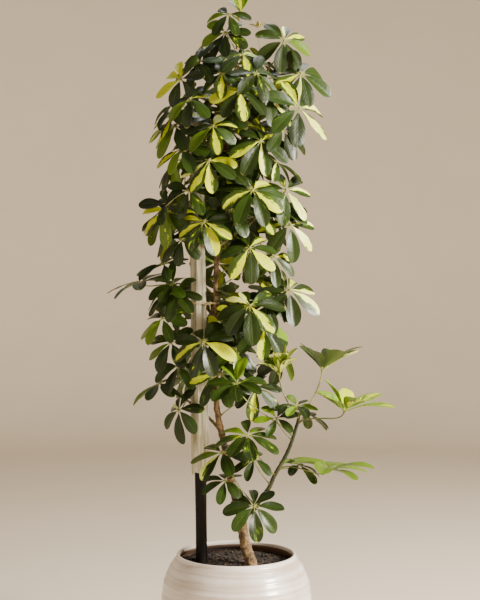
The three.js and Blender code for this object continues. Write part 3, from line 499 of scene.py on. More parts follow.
def seat(piece: Piece, slot: str, *nodes: str, sharpest: float = 50) -> None:
    """Shades a finished piece and puts it on the object in place of its plain solids.

    Args:
        piece: The finished piece.
        slot: The material slot of its plain solids; not used.
        nodes: The plain solids that it stands for, or none where it is an addition.
        sharpest: The angle in degrees past which its edges stay sharp.
    """
    smooth(piece, sharpest)
    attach(piece, BODY)
    if nodes:
        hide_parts(*nodes)
    LOG.info("%s: %d faces", piece.name, len(piece.data.polygons))


class Shader:
    """A material's nodes, added and joined one after another."""

    def __init__(self, name: str) -> None:
        """Starts a material of that name."""
        self.material = bpy.data.materials.new(name)
        self.material.use_nodes = True
        self.surface = self.material.node_tree.nodes["Principled BSDF"]

    def feed(self, socket: bpy.types.NodeSocket, value: Any) -> None:
        """Joins a socket to another one, or sets it to a constant."""
        if isinstance(value, bpy.types.NodeSocket):
            self.material.node_tree.links.new(value, socket)
        else:
            socket.default_value = value

    def add(self, kind: str, inputs: dict[int | str, Any], **settings: Any) -> bpy.types.Node:
        """Adds a node.

        Args:
            kind: The node's type, without the words that all shader nodes share.
            inputs: What its sockets are joined or set to.
            settings: The node's own options.

        Returns:
            The new node.
        """
        node = self.material.node_tree.nodes.new(f"ShaderNode{kind}")
        for key, value in settings.items():
            setattr(node, key, value)
        for key, value in inputs.items():
            self.feed(node.inputs[key], value)
        return node

    def place(self) -> Any:
        """Place on the object, in metres."""
        return self.add("TexCoord", {}).outputs["Object"]

    def parts(self, vector: Any) -> Any:
        """The three numbers of a vector."""
        return self.add("SeparateXYZ", {0: vector}).outputs

    def stored(self, name: str) -> Any:
        """The three numbers that a corner stores under a name."""
        return self.parts(self.add("Attribute", {}, attribute_name=name).outputs["Vector"])

    def stretched(self, vector: Any, scale: Point) -> Any:
        """A vector with each part scaled by its own number."""
        return self.add("Mapping", {"Vector": vector, "Scale": scale}).outputs[0]

    def cloud(self, vector: Any, scale: float | Point, detail: float = 2, roughness: float = 0.5) -> Any:
        """A noise value from 0 to 1, about a half on average, with one scale or one for each axis."""
        if isinstance(scale, tuple):
            vector, scale = self.stretched(vector, scale), 1.0
        inputs = {"Vector": vector, "Scale": scale, "Detail": detail, "Roughness": roughness}
        return self.add("TexNoise", inputs).outputs[0]

    def dots(self, vector: Any, scale: float, core: float, edge: float) -> Any:
        """Scattered dots: 1 within a core, eased to 0 at their edge."""
        cells = self.add("TexVoronoi", {"Vector": vector, "Scale": scale}).outputs["Distance"]
        return self.span(cells, core, edge, 1, 0)

    def sums(self, operation: str, first: Any, second: Any = 0.0) -> Any:
        """Result of a sum on two values."""
        return self.add("Math", {0: first, 1: second}, operation=operation).outputs[0]

    def times(self, first: Any, second: Any) -> Any:
        """One value times another."""
        return self.sums("MULTIPLY", first, second)

    def plus(self, first: Any, second: Any) -> Any:
        """The sum of two values."""
        return self.sums("ADD", first, second)

    def minus(self, first: Any, second: Any) -> Any:
        """One value less another."""
        return self.sums("SUBTRACT", first, second)

    def span(self, value: Any, low: float, high: float, start: float = 0, end: float = 1) -> Any:
        """A value eased from start to end as it goes from low to high."""
        inputs = {"Value": value, "From Min": low, "From Max": high, "To Min": start, "To Max": end}
        return self.add("MapRange", inputs, interpolation_type="SMOOTHSTEP").outputs[0]

    def blend(self, share: Any, first: Any, second: Any) -> Any:
        """Mix of two colours."""
        return self.add("Mix", {0: share, 6: first, 7: second}, data_type="RGBA").outputs[2]

    def relief(self, height: Any, distance: float, below: Any = None) -> Any:
        """A normal bent by a height field, over another relief if one is given."""
        inputs = {"Height": height, "Distance": distance, "Strength": 1.0}
        if below is not None:
            inputs["Normal"] = below
        return self.add("Bump", inputs).outputs[0]

    def finished(self, **sockets: Any) -> Material:
        """Sets the surface's own sockets, named with _ for a space, and gives the material."""
        for name, value in sockets.items():
            self.feed(self.surface.inputs[name.replace("_", " ")], value)
        return self.material


@dataclass(frozen=True)
class CeramicGlaze:
    """Warm white glaze with small specks, its mottled tone banded with painted light and painted shade
    along the throwing rings.
    """

    # A painted lit white and a painted shaded white
    light: Colour = colour(236, 228, 220)
    shade: Colour = colour(192, 174, 158)
    speck: Colour = colour(120, 92, 64)

    def material(self) -> Material:
        """Makes the material."""
        shader = Shader("white_glaze")
        place = shader.place()
        rings = shader.cloud(place, (2.0, 2.0, 90.0), 3)
        drift = shader.cloud(place, 9.0)
        tone = shader.plus(shader.times(rings, 0.6), shader.times(drift, 0.5))
        # Painted shade and painted light in bands along the throwing rings, over the glaze's own drifting
        # mottle
        base = shader.blend(shader.span(tone, 0.35, 0.75), self.shade, self.light)
        sparse = shader.span(shader.cloud(place, 24.0, 1), 0.5, 0.58, 0, 0.8)
        base = shader.blend(shader.times(shader.dots(place, 150.0, 0.09, 0.16), sparse), base, self.speck)
        fine = shader.relief(shader.cloud(place, 260.0), 0.0002)
        grooves = shader.relief(shader.cloud(place, (1.2, 1.2, 210.0)), 0.0012, fine)
        return shader.finished(
            Base_Color=base, Roughness=shader.span(drift, 0.3, 0.7, 0.28, 0.4),
            Normal=shader.relief(rings, 0.002, grooves), Coat_Weight=0.6, Coat_Roughness=0.14,
        )


@dataclass(frozen=True)
class RawClayAndShade:
    """Dull reddish clay inside the pot, darkened with painted shade on the inner wall, with patchy stains
    from water and soil.
    """

    pale: Colour = colour(118, 90, 70)
    # Painted shade of the inner wall
    dark: Colour = colour(52, 36, 28)

    def material(self) -> Material:
        """Makes the material."""
        shader = Shader("raw_clay_and_shade")
        place = shader.place()
        stain_and_shade = shader.cloud(place, (6.0, 6.0, 40.0), 4)
        # Patches of stain, with the dark end as painted shade inside the pot
        base = shader.blend(shader.span(stain_and_shade, 0.35, 0.65), self.dark, self.pale)
        normal = shader.relief(shader.cloud(place, 300.0, 3), 0.0004)
        return shader.finished(Base_Color=base, Roughness=0.85, Normal=normal)


@dataclass(frozen=True)
class PeatSoil:
    """Moist peat soil, nearly black, with lighter fibres and crumbs."""

    dark: Colour = colour(10, 7, 4)
    brown: Colour = colour(44, 30, 20)
    fibre: Colour = colour(134, 106, 76)

    def material(self) -> Material:
        """Makes the material."""
        shader = Shader("peat_soil")
        place = shader.place()
        clods = shader.cloud(place, 70.0, 5, 0.65)
        base = shader.blend(shader.span(clods, 0.38, 0.68), self.dark, self.brown)
        fibres = shader.span(shader.cloud(place, 190.0, 3, 0.7), 0.57, 0.68, 0, 0.9)
        base = shader.blend(fibres, base, self.fibre)
        return shader.finished(Base_Color=base, Roughness=0.92, Normal=shader.relief(clods, 0.004))


@dataclass(frozen=True)
class DarkPost:
    """Dark stained post with a faint upright grain."""

    dark: Colour = colour(8, 5, 3)
    brown: Colour = colour(24, 14, 9)

    def material(self) -> Material:
        """Makes the material."""
        shader = Shader("dark_post")
        grain = shader.cloud(shader.place(), (220.0, 220.0, 5.0), 4)
        return shader.finished(
            Base_Color=shader.blend(shader.span(grain, 0.4, 0.7), self.dark, self.brown),
            Roughness=shader.span(grain, 0.3, 0.7, 0.5, 0.7), Normal=shader.relief(grain, 0.0004),
            Specular_IOR_Level=0.2,
        )


@dataclass(frozen=True)
class HazyFilm:
    """Thin milky film with upright streaks and dust."""

    clear: Colour = colour(164, 152, 116)
    milky: Colour = colour(224, 218, 194)

    def material(self) -> Material:
        """Makes the material."""
        shader = Shader("hazy_film")
        place = shader.place()
        streak = shader.cloud(place, (150.0, 150.0, 3.0), 3)
        blotch = shader.cloud(place, (30.0, 30.0, 14.0), 3)
        haze = shader.plus(shader.times(streak, 0.7), shader.times(blotch, 0.4))
        return shader.finished(
            Base_Color=shader.blend(shader.span(haze, 0.4, 0.7), self.clear, self.milky), Roughness=0.2,
            Alpha=shader.span(haze, 0.38, 0.72, 0.74, 0.95), Normal=shader.relief(streak, 0.0008),
        )


@dataclass(frozen=True)
class PlantString:
    """Fuzzy cream string with darker fibres."""

    pale: Colour = colour(226, 212, 170)
    dark: Colour = colour(168, 146, 100)

    def material(self) -> Material:
        """Makes the material."""
        shader = Shader("plant_string")
        fuzz = shader.cloud(shader.place(), 700.0, 3)
        base = shader.blend(shader.span(fuzz, 0.35, 0.65), self.dark, self.pale)
        return shader.finished(Base_Color=base, Roughness=0.9, Normal=shader.relief(fuzz, 0.0003))


@dataclass(frozen=True)
class Bark:
    """Corky bark with scales, cracks, dark bands and pale pores."""

    name: str = "tan_bark"
    pale: Colour = colour(154, 124, 82)
    brown: Colour = colour(84, 63, 38)
    crack: Colour = colour(38, 27, 15)
    pore: Colour = colour(190, 164, 120)
    bands_a_metre: float = 62.0

    def material(self) -> Material:
        """Makes the material."""
        shader = Shader(self.name)
        place = shader.place()
        scale = shader.cloud(place, (70.0, 70.0, 36.0), 4, 0.6)
        base = shader.blend(shader.span(scale, 0.38, 0.66), self.brown, self.pale)
        cracks = shader.cloud(place, (150.0, 150.0, 320.0), 3, 0.6)
        base = shader.blend(shader.span(cracks, 0.54, 0.68), base, self.crack)
        upward = shader.times(shader.parts(place)[2], self.bands_a_metre)
        bands = shader.sums("PINGPONG", shader.plus(upward, shader.times(scale, 2.4)), 0.5)
        base = shader.blend(shader.span(bands, 0.02, 0.09, 0.6, 0.0), base, self.crack)
        pores = shader.dots(shader.stretched(place, (1.0, 1.0, 0.6)), 210.0, 0.14, 0.24)
        base = shader.blend(shader.times(pores, 0.6), base, self.pore)
        normal = shader.relief(cracks, 0.0016, shader.relief(scale, 0.002))
        return shader.finished(Base_Color=base, Roughness=0.85, Normal=normal)


@dataclass(frozen=True)
class GreenStalk:
    """Smooth green stalk, with paler patches and small pores."""

    name: str
    green: Colour
    pale: Colour

    def material(self) -> Material:
        """Makes the material."""
        shader = Shader(self.name)
        place = shader.place()
        base = shader.blend(shader.span(shader.cloud(place, 26.0), 0.36, 0.64), self.green, self.pale)
        base = shader.blend(shader.times(shader.dots(place, 260.0, 0.1, 0.2), 0.35), base, self.pale)
        normal = shader.relief(shader.cloud(place, 400.0), 0.0003)
        return shader.finished(Base_Color=base, Roughness=0.4, Normal=normal)


@dataclass(frozen=True)
class LeafSkin:
    """Glossy leaflet skin: green with irregular gold or cream patches, paler below."""

    deep: Colour = colour(8, 17, 4)
    green: Colour = colour(32, 51, 13)
    # Fresh green, which is also the painted glow of leaflets lit through
    bright: Colour = colour(122, 156, 20)
    halo: Colour = colour(74, 98, 14)
    gold: Colour = colour(198, 208, 4)
    cream: Colour = colour(228, 236, 120)
    rib: Colour = colour(112, 128, 44)
    stalk: Colour = colour(158, 164, 78)
    below: Colour = colour(98, 116, 62)
    dry: Colour = colour(140, 132, 66)

    def material(self) -> Material:
        """Makes the material from the leaflet's own map and the traits stored on its corners."""
        shader = Shader("leaf_skin")
        chart = shader.parts(shader.add("UVMap", {}).outputs[0])
        patch, tint, side = (shader.stored(name) for name in ("patch", "tint", "side"))
        across = shader.minus(shader.times(chart[0], 2.0), 1.0)
        off_rib = shader.sums("ABSOLUTE", across)
        veinward = shader.minus(chart[1], shader.times(off_rib, 0.3))
        spread = shader.add("CombineXYZ", {
            0: shader.times(across, 0.9), 1: shader.times(veinward, 2.2), 2: shader.times(patch[0], 40.0),
        }).outputs[0]
        spots = shader.minus(shader.cloud(spread, 1.6, 3, 0.6), 0.5)
        above = self.patches(shader, spots, across, off_rib, patch, side)
        base = self.greens(shader, tint)
        base = shader.blend(shader.span(above, -0.3, -0.16, 0, 0.75), base, self.halo)
        pale = shader.blend(tint[2], self.gold, self.cream)
        flecks = shader.span(shader.cloud(spread, 6.0, 3, 0.7), 0.56, 0.66, 0, 0.55)
        pale = shader.blend(flecks, pale, self.halo)
        base = shader.blend(shader.span(above, -0.05, 0.03), base, pale)
        base = shader.blend(shader.span(off_rib, 0.01, 0.07, 0.24, 0.0), base, self.rib)
        # Thin side veins run outwards and up from the midrib
        veins = shader.span(shader.sums("PINGPONG", shader.times(veinward, 9.0), 0.5), 0.0, 0.12, 1, 0)
        base = shader.blend(shader.times(veins, 0.08), base, self.rib)
        # Undersides are paler, but not on fresh leaflets, whose painted glow shows on both faces
        dull = shader.times(side[0], shader.span(tint[1], 0.1, 0.6, 0.55, 0.0))
        base = shader.blend(dull, base, self.below)
        base = shader.blend(shader.span(chart[1], 0.07, 0.17, 0.8, 0.0), base, self.stalk)
        tip = shader.plus(chart[1], shader.times(spots, 0.2))
        tip = shader.times(shader.span(tip, 0.96, 1.0), shader.span(patch[0], 0.7, 0.72))
        base = shader.blend(shader.sums("MAXIMUM", tip, side[1]), base, self.dry)
        uneven = shader.relief(shader.cloud(shader.place(), 90.0), 0.0009)
        return shader.finished(
            Base_Color=base, Roughness=shader.plus(shader.times(side[0], 0.2), 0.4),
            Normal=shader.relief(veins, 0.0001, uneven), Coat_Weight=0.1, Coat_Roughness=0.25,
            Specular_IOR_Level=0.28,
        )

    def patches(self, shader: Shader, spots: Any, across: Any, off_rib: Any, patch: Any, side: Any) -> Any:
        """How far a place is inside a pale patch.

        Args:
            shader: The material's nodes.
            spots: An uneven value round 0.
            across: The place across the leaflet, from -1 to 1.
            off_rib: How far the place is from the rib, from 0 to 1.
            patch: The stored numbers that say how much is patched and which half.
            side: The stored numbers, the last of which says how far the patch keeps to the middle.

        Returns:
            A value above 0 inside a patch.
        """
        lean = shader.times(shader.times(across, patch[2]), 1.1)
        inward = shader.times(shader.times(shader.minus(0.45, off_rib), 1.6), side[2])
        score = shader.plus(shader.times(spots, 2.2), shader.plus(lean, inward))
        return shader.minus(score, shader.minus(1.0, shader.times(patch[1], 1.6)))

    def greens(self, shader: Shader, tint: Any) -> Any:
        """The green ground, from deep to bright by the leaflet's tone and by its fresh colour with painted
        glow.
        """
        drift = shader.times(shader.minus(shader.cloud(shader.place(), 34.0), 0.5), 0.7)
        ground = shader.blend(shader.span(shader.plus(tint[0], drift), 0.0, 1.0), self.deep, self.green)
        return shader.blend(tint[1], ground, self.bright)


@dataclass(frozen=True)
class Colouring:
    """How much of a leaflet is patched and where, how far it is brightened by its fresh colour and painted
    glow, and how cream, dry and wide it is.
    """

    patched: tuple[float, float]
    tone: tuple[float, float] = (0.0, 0.8)
    middle: float = 0.0
    leaning: float = 0.0
    fresh_and_glow: float = 0.04
    cream: float = 0.0
    dry: float = 0.0
    wide: float = 1.0


COLOURINGS = {
    Marking.PLAIN: Colouring((0.0, 0.42), (-0.1, 0.9)),
    # Light and new leaflets are a lighter green of their own, brightened further as painted glow of light
    # shining through them
    Marking.LIGHT: Colouring((0.1, 0.4), (0.6, 1.0), fresh_and_glow=0.55, wide=1.08),
    Marking.NEW: Colouring((0.35, 0.6), (0.8, 1.0), middle=0.5, fresh_and_glow=1.0, wide=1.22),
    Marking.FLAME: Colouring((0.54, 0.72), middle=1.0, fresh_and_glow=0.1),
    Marking.HALF: Colouring((0.56, 0.7), leaning=1.0, fresh_and_glow=0.1),
    Marking.GOLD: Colouring((0.9, 1.0), (0.5, 1.0), middle=0.3, fresh_and_glow=0.2),
    Marking.EDGED: Colouring((0.4, 0.52), leaning=1.0, cream=1.0, wide=0.9),
    Marking.CREAM: Colouring((0.75, 0.9), (0.3, 0.8), middle=0.4, cream=0.9, wide=0.7),
    Marking.PALE: Colouring((0.5, 0.8), (0.8, 1.0), fresh_and_glow=0.8, cream=1.0),
    Marking.DRY: Colouring((0.0, 0.0), (0.0, 0.1), dry=1.0, wide=0.14),
}


@dataclass
class Leaf:
    """One leaf: its stem and node, its hub, the way it faces, its sizes, markings and drawn values."""

    stem: str
    node: str
    hub: np.ndarray
    axis: np.ndarray
    length: float
    droop: float
    spin: float
    letters: str
    draws: np.ndarray

    def __post_init__(self) -> None:
        """Works out its level side, its upper side and how stout its stalk and hub are."""
        self.side = unit(np.cross(UP, self.axis))
        self.up = np.cross(self.axis, self.side)
        self.stoutness = min(self.length / USUAL_LENGTH, STOUTEST)


@dataclass
class Rib:
    """A leaflet's rib: centre, width direction and face direction at each step, and its length."""

    centres: np.ndarray
    wide: np.ndarray
    face: np.ndarray
    length: float


class Growth:
    """The plant's layout: its leaves, with the petioles and ribs that the plain solids took."""

    def __init__(self) -> None:
        """Lays the leaves out from their table."""
        self.trees: dict[str, KDTree] = {}
        self.leaves: list[Leaf] = []
        stream = self.drawn()
        on_trunk = 0
        for stem, rows in LEAVES:
            for x, y, z, length, facing, tilt, droop, spin, letters in rows:
                on_trunk += stem == "trunk"
                self.leaves.append(Leaf(
                    stem, f"leaf_{on_trunk:02d}" if stem == "trunk" else stem, np.array([x, y, z], float),
                    heading(math.radians(facing), math.radians(tilt)), length, droop, spin, letters,
                    np.array([[next(stream) for _ in range(5)] for _ in letters]),
                ))

    @staticmethod
    def drawn() -> Iterator[float]:
        """The same random numbers from 0 to 1 each time."""
        state = RANDOM_SEED
        while True:
            state = state * DRAW_FACTOR % DRAW_RANGE
            yield state / DRAW_RANGE

    def away(self, node: str, point: np.ndarray) -> float:
        """Distance from a point to the nearest corner of a plain solid, to tell what place it took.

        Args:
            node: The plain solid.
            point: The point, in millimetres.

        Returns:
            The distance, in millimetres.
        """
        if node not in self.trees:
            corners = frame["nodes"][node].data.vertices
            self.trees[node] = KDTree(len(corners))
            for index, corner in enumerate(corners):
                self.trees[node].insert(corner.co / MM, index)
            self.trees[node].balance()
        return self.trees[node].find(Vector(point))[2]

    def tries(self, leaf: Leaf, index: int) -> Iterator[Rib]:
        """A leaflet's ribs, from the first choice on: ever more bent, and then ever shorter."""
        for shrink in SHRINKS:
            for lift in LIFTS:
                yield self.planned_rib(leaf, index, lift, shrink)

    def planned_rib(self, leaf: Leaf, index: int, lift: float, shrink: float) -> Rib:
        """A leaflet's rib when it is lifted and shrunk by a try.

        Args:
            leaf: The leaf.
            index: The leaflet's number round the hub.
            lift: Degrees that it is bent down by.
            shrink: Share of its length that is kept.

        Returns:
            The rib, from the hub to the tip.
        """
        turn_draw, length_draw, droop_draw, bend_draw, roll_draw = leaf.draws[index]
        turn = math.radians(leaf.spin + 360 * index / len(leaf.letters) + TURN_SPREAD * (turn_draw - 0.5))
        radial = leaf.side * math.cos(turn) + leaf.up * math.sin(turn)
        across = np.cross(leaf.axis, radial)
        share = MEAN_SHARE - UPPER_SHORTENING * math.sin(turn) + LENGTH_SPREAD * (length_draw - 0.5)
        length = leaf.length * shrink * share
        roll = math.radians(ROLL_SPREAD * (roll_draw - 0.5))
        steps = np.arange(RIB_STEPS + 1) / RIB_STEPS
        start = math.radians(leaf.droop + lift + DROOP_SPREAD * (droop_draw - 0.5))
        angles = start + math.radians(BEND + BEND_SPREAD * bend_draw) * steps
        along = np.outer(np.cos(angles), radial) - np.outer(np.sin(angles), leaf.axis)
        along[:, 2] -= SAG * steps
        along = unit(along)
        level = unit(across - along * (along @ across)[:, None])
        face = np.cross(along, level)
        way = np.cumsum(along[:-1], axis=0) * length / RIB_STEPS
        return Rib(
            np.vstack([leaf.hub, leaf.hub + way]),
            level * math.cos(roll) + face * math.sin(roll),
            face * math.cos(roll) - level * math.sin(roll),
            length,
        )

    def rib(self, leaf: Leaf, index: int) -> Rib | None:
        """The rib that a leaflet took, or None where the leaflet was left out."""
        ribs = self.tries(leaf, index)
        return next((rib for rib in ribs if self.away(leaf.node, rib.centres[-1]) < SAME_PLACE), None)

    def foot(self, leaf: Leaf, lower: float) -> np.ndarray:
        """Foot of a petiole: the nearest point of its stem to a point below the hub.

        Args:
            leaf: The leaf that the petiole carries.
            lower: How far below the hub the point is.

        Returns:
            The foot, on the middle line of the stem.
        """
        bottom, top = STEMS[leaf.stem][0][2], STEMS[leaf.stem][-1][2]
        heights = np.arange(bottom + STEM_BARE_SHARE * (top - bottom), top - FOOT_STEP / 2, FOOT_STEP)
        points = stem_at(leaf.stem, heights)[:, :3]
        return points[np.argmin(np.linalg.norm(points - (leaf.hub - UP * lower), axis=1))]

    def planned_petiole(self, leaf: Leaf, move: float) -> np.ndarray:
        """Points of a petiole whose foot is moved down by a try.

        Args:
            leaf: The leaf that it carries.
            move: How far the foot is moved.

        Returns:
            The points from the stem to the hub, bent round the stake where they would cross it.
        """
        reach = math.dist(stem_at(leaf.stem, leaf.hub[2])[:2], leaf.hub[:2])
        foot = self.foot(leaf, FOOT_DROP + FOOT_DROP_SHARE * reach + move)
        out = leaf.hub - foot
        span = np.linalg.norm(out)
        level = max(math.hypot(out[0], out[1]), MM)
        rise = unit(np.array([PETIOLE_OUT * out[0] / level, PETIOLE_OUT * out[1] / level, PETIOLE_UP]))
        first = foot + rise * PETIOLE_START_PULL * span
        second = leaf.hub - leaf.axis * PETIOLE_END_PULL * span
        t = np.linspace(0, 1, PETIOLE_STEPS + 1)[:, None]
        weights = ((1 - t) ** 3, 3 * (1 - t) ** 2 * t, 3 * (1 - t) * t**2, t**3)
        points = sum(weight * bend for weight, bend in zip(weights, (foot, first, second, leaf.hub)))
        side = -1 if leaf.hub[1] <= 0 else 1
        ring = STAKE_ROOM_RADIUS + PETIOLE_ROOM + 2 * PETIOLE_RADIUS
        for point in points[1:-1]:
            across = abs(point[0] - stake_x(point[2]))
            if across < STAKE_DETOUR * ring and point[2] < SLEEVE_TOP + ring:
                room = ring * math.sqrt(1 - (across / (STAKE_DETOUR * ring)) ** 2)
                if side * (point[1] - STAKE_Y) < room:
                    point[1] = STAKE_Y + side * room
        return points

    def petiole(self, leaf: Leaf) -> np.ndarray:
        """The petiole that the plain solid took, found by the corners of its rings.

        Args:
            leaf: The leaf that it carries.

        Returns:
            Its points from the stem to the hub.
        """
        def miss(points: np.ndarray) -> float:
            """How badly a petiole's rings meet the solid's corners."""
            rings = smooth_path(points, 5)[1:4]
            return sum(abs(self.away(leaf.node, ring) - PETIOLE_RADIUS) for ring in rings)

        return min((self.planned_petiole(leaf, move) for move in FOOT_MOVES), key=miss)


@dataclass
class Mould:
    """A small shape that is modelled once and then copied: its corners and faces."""

    corners: np.ndarray
    faces: list[list[int]]

    @staticmethod
    def of(piece: Piece) -> "Mould":
        """Takes a piece's mesh as a mould and removes the piece."""
        faces = [list(face.vertices) for face in piece.data.polygons]
        mould = Mould(corner_places(piece), faces)
        bpy.data.objects.remove(piece)
        return mould


@dataclass
class LeafletMould:
    """A flat leaflet whose rows run along the rib: it is warped along each rib in turn.

    A size of two numbers is the least value and what a drawn value adds to it.
    """

    rows: int = 13
    columns: int = 6
    stalk_share: float = 0.12
    stalk_radius: float = 1.15
    blade_half: float = 0.34
    edge_half: float = 0.16
    base_power: float = 0.9
    tip_power: float = 0.55
    rows_to_tip: float = 1.35
    width: tuple[float, float] = (1.04, 0.22)
    fold: tuple[float, float] = (0.18, 0.5)
    curl: tuple[float, float] = (-0.02, 0.34)
    waves: tuple[float, float] = (0.4, 1.3)
    sway: float = 0.07
    mould: Mould = field(init=False)

    def __post_init__(self) -> None:
        """Models the flat leaflet: a grid, thickened."""
        select()
        bpy.ops.mesh.primitive_grid_add(
            x_subdivisions=self.columns, y_subdivisions=self.rows, size=2, location=(0, 0, 0)
        )
        piece = bpy.context.object
        enter_edit()
        bpy.ops.transform.translate(value=(0, 1, 1))
        bpy.ops.transform.resize(value=(1, 0.5, 1), center_override=(0, 0, 0))
        bpy.ops.object.mode_set(mode="OBJECT")
        thicken(piece, 2)
        self.mould = Mould.of(piece)
        corners = self.mould.corners
        corners[:, 1] = 1 - (1 - corners[:, 1]) ** self.rows_to_tip

    def outline(self, blade: np.ndarray) -> np.ndarray:
        """Share of the full width at each place along the blade, 1 where it is widest."""
        widest = self.base_power / (self.base_power + self.tip_power)
        peak = widest**self.base_power * (1 - widest) ** self.tip_power
        return blade**self.base_power * (1 - blade) ** self.tip_power / peak

    def warped(self, rib: Rib, shape: np.ndarray, wide: float = 1.0) -> np.ndarray:
        """Lays the leaflet along a rib.

        Args:
            rib: The rib that it follows.
            shape: Drawn values from 0 to 1, the first for fold, curl, waves, their phase, sway and width.
            wide: How wide it is, as a share of the usual width.

        Returns:
            The corners, in millimetres.
        """
        across, share, side = self.mould.corners.T
        sizes = (self.fold, self.curl, self.waves, (0, 2 * math.pi), (-0.5, 1), self.width)
        fold, curl, waves, phase, sway, width = (
            least + more * drawn for (least, more), drawn in zip(sizes, shape)
        )
        blade = np.clip((share - self.stalk_share) / (1 - self.stalk_share), 0, 1)
        outline = self.outline(blade)
        half = HALF_WIDTH * rib.length * width * wide * outline
        half = np.maximum(half, self.stalk_radius * (1 - 0.75 * share))
        on_stalk = np.clip(1 - blade / 0.1, 0, 1)
        middle = self.blade_half * (1.2 - 0.6 * share) + (self.stalk_radius - self.blade_half) * on_stalk
        height = self.edge_half + (middle - self.edge_half) * np.sqrt(1 - 0.96 * across**2)
        keel = np.where(side < 0, 0.5 * hump(across, 0.3) * (1 - share), 0)
        folded = fold * (1 - 0.5 * share) * np.minimum(blade / 0.15, 1) * np.abs(across)
        waved = waves * np.sin(9 * share + phase + 0.9 * np.sign(across)) * across**2 * outline
        lift = side * height - keel + half * (folded - curl * across**2) + waved
        aside = across * half + sway * self.sway * rib.length * np.sin(math.pi * share)
        place = share * RIB_STEPS
        low = np.minimum(place.astype(int), RIB_STEPS - 1)
        part = (place - low)[:, None]
        centre, level, face = (
            line[low] * (1 - part) + line[low + 1] * part for line in (rib.centres, rib.wide, rib.face)
        )
        return centre - level * aside[:, None] + face * lift[:, None]


class Spray:
    """The leaflets and hubs of one node, gathered into one mesh."""

    def __init__(self) -> None:
        """Starts with nothing gathered."""
        self.corners: list[np.ndarray] = []
        self.faces: list[list[int]] = []
        self.finishes: list[int] = []
        self.traits: dict[str, list[np.ndarray]] = {"patch": [], "tint": [], "side": [], "chart": []}
        self.count = 0

    def add(self, corners: np.ndarray, faces: list[list[int]], finish: int, **traits: np.ndarray) -> None:
        """Adds a copy of a mould.

        Args:
            corners: Its corners, in millimetres.
            faces: Its faces.
            finish: The number of its finish.
            traits: The values that each corner stores.
        """
        self.corners.append(corners)
        self.faces.extend([[corner + self.count for corner in face] for face in faces])
        self.finishes.extend([finish] * len(faces))
        for name, gathered in self.traits.items():
            gathered.append(np.broadcast_to(traits.get(name, 0.0), (len(corners), 3)))
        self.count += len(corners)

    def piece(self, name: str, finishes: Sequence[Material]) -> Piece:
        """Makes the mesh, with its map and the traits on its corners.

        Args:
            name: The piece's name.
            finishes: The materials that the copies choose from.

        Returns:
            The new piece.
        """
        mesh = bpy.data.meshes.new(name)
        mesh.from_pydata((np.vstack(self.corners) * MM).tolist(), [], self.faces)
        for finish in finishes:
            mesh.materials.append(finish)
        mesh.polygons.foreach_set("material_index", self.finishes)
        for trait in ("patch", "tint", "side"):
            stored = mesh.attributes.new(trait, "FLOAT_VECTOR", "POINT")
            stored.data.foreach_set("vector", np.vstack(self.traits[trait]).ravel())
        corner_of = np.empty(len(mesh.loops), int)
        mesh.loops.foreach_get("vertex_index", corner_of)
        chart = np.vstack(self.traits["chart"])[corner_of, :2]
        mesh.uv_layers.new(name="UVMap").data.foreach_set("uv", chart.ravel())
        return put(name, mesh)


class Room:
    """The space round the plant in small cubes, to tell what is taken."""

    def __init__(self, cell: float = 6.0) -> None:
        """Starts with all of the plain model's box free, cut into cubes of that size."""
        low, high = (np.array(corner) / MM for corner in CAD_BOX)
        self.low = low - cell
        self.cell = cell
        self.taken = np.zeros(((high - low) / cell + 3).astype(int), bool)

    def cubes(self, points: np.ndarray) -> tuple[np.ndarray, ...]:
        """The cube that each point lies in."""
        steps = ((points - self.low) / self.cell).astype(int)
        return tuple(steps.clip(0, np.array(self.taken.shape) - 1).T)

    def take(self, points: np.ndarray) -> None:
        """Marks the cubes of points as taken."""
        self.taken[self.cubes(points)] = True

    def crowding(self, points: np.ndarray) -> float:
        """Share of points that lie in taken cubes."""
        return float(self.taken[self.cubes(points)].mean())


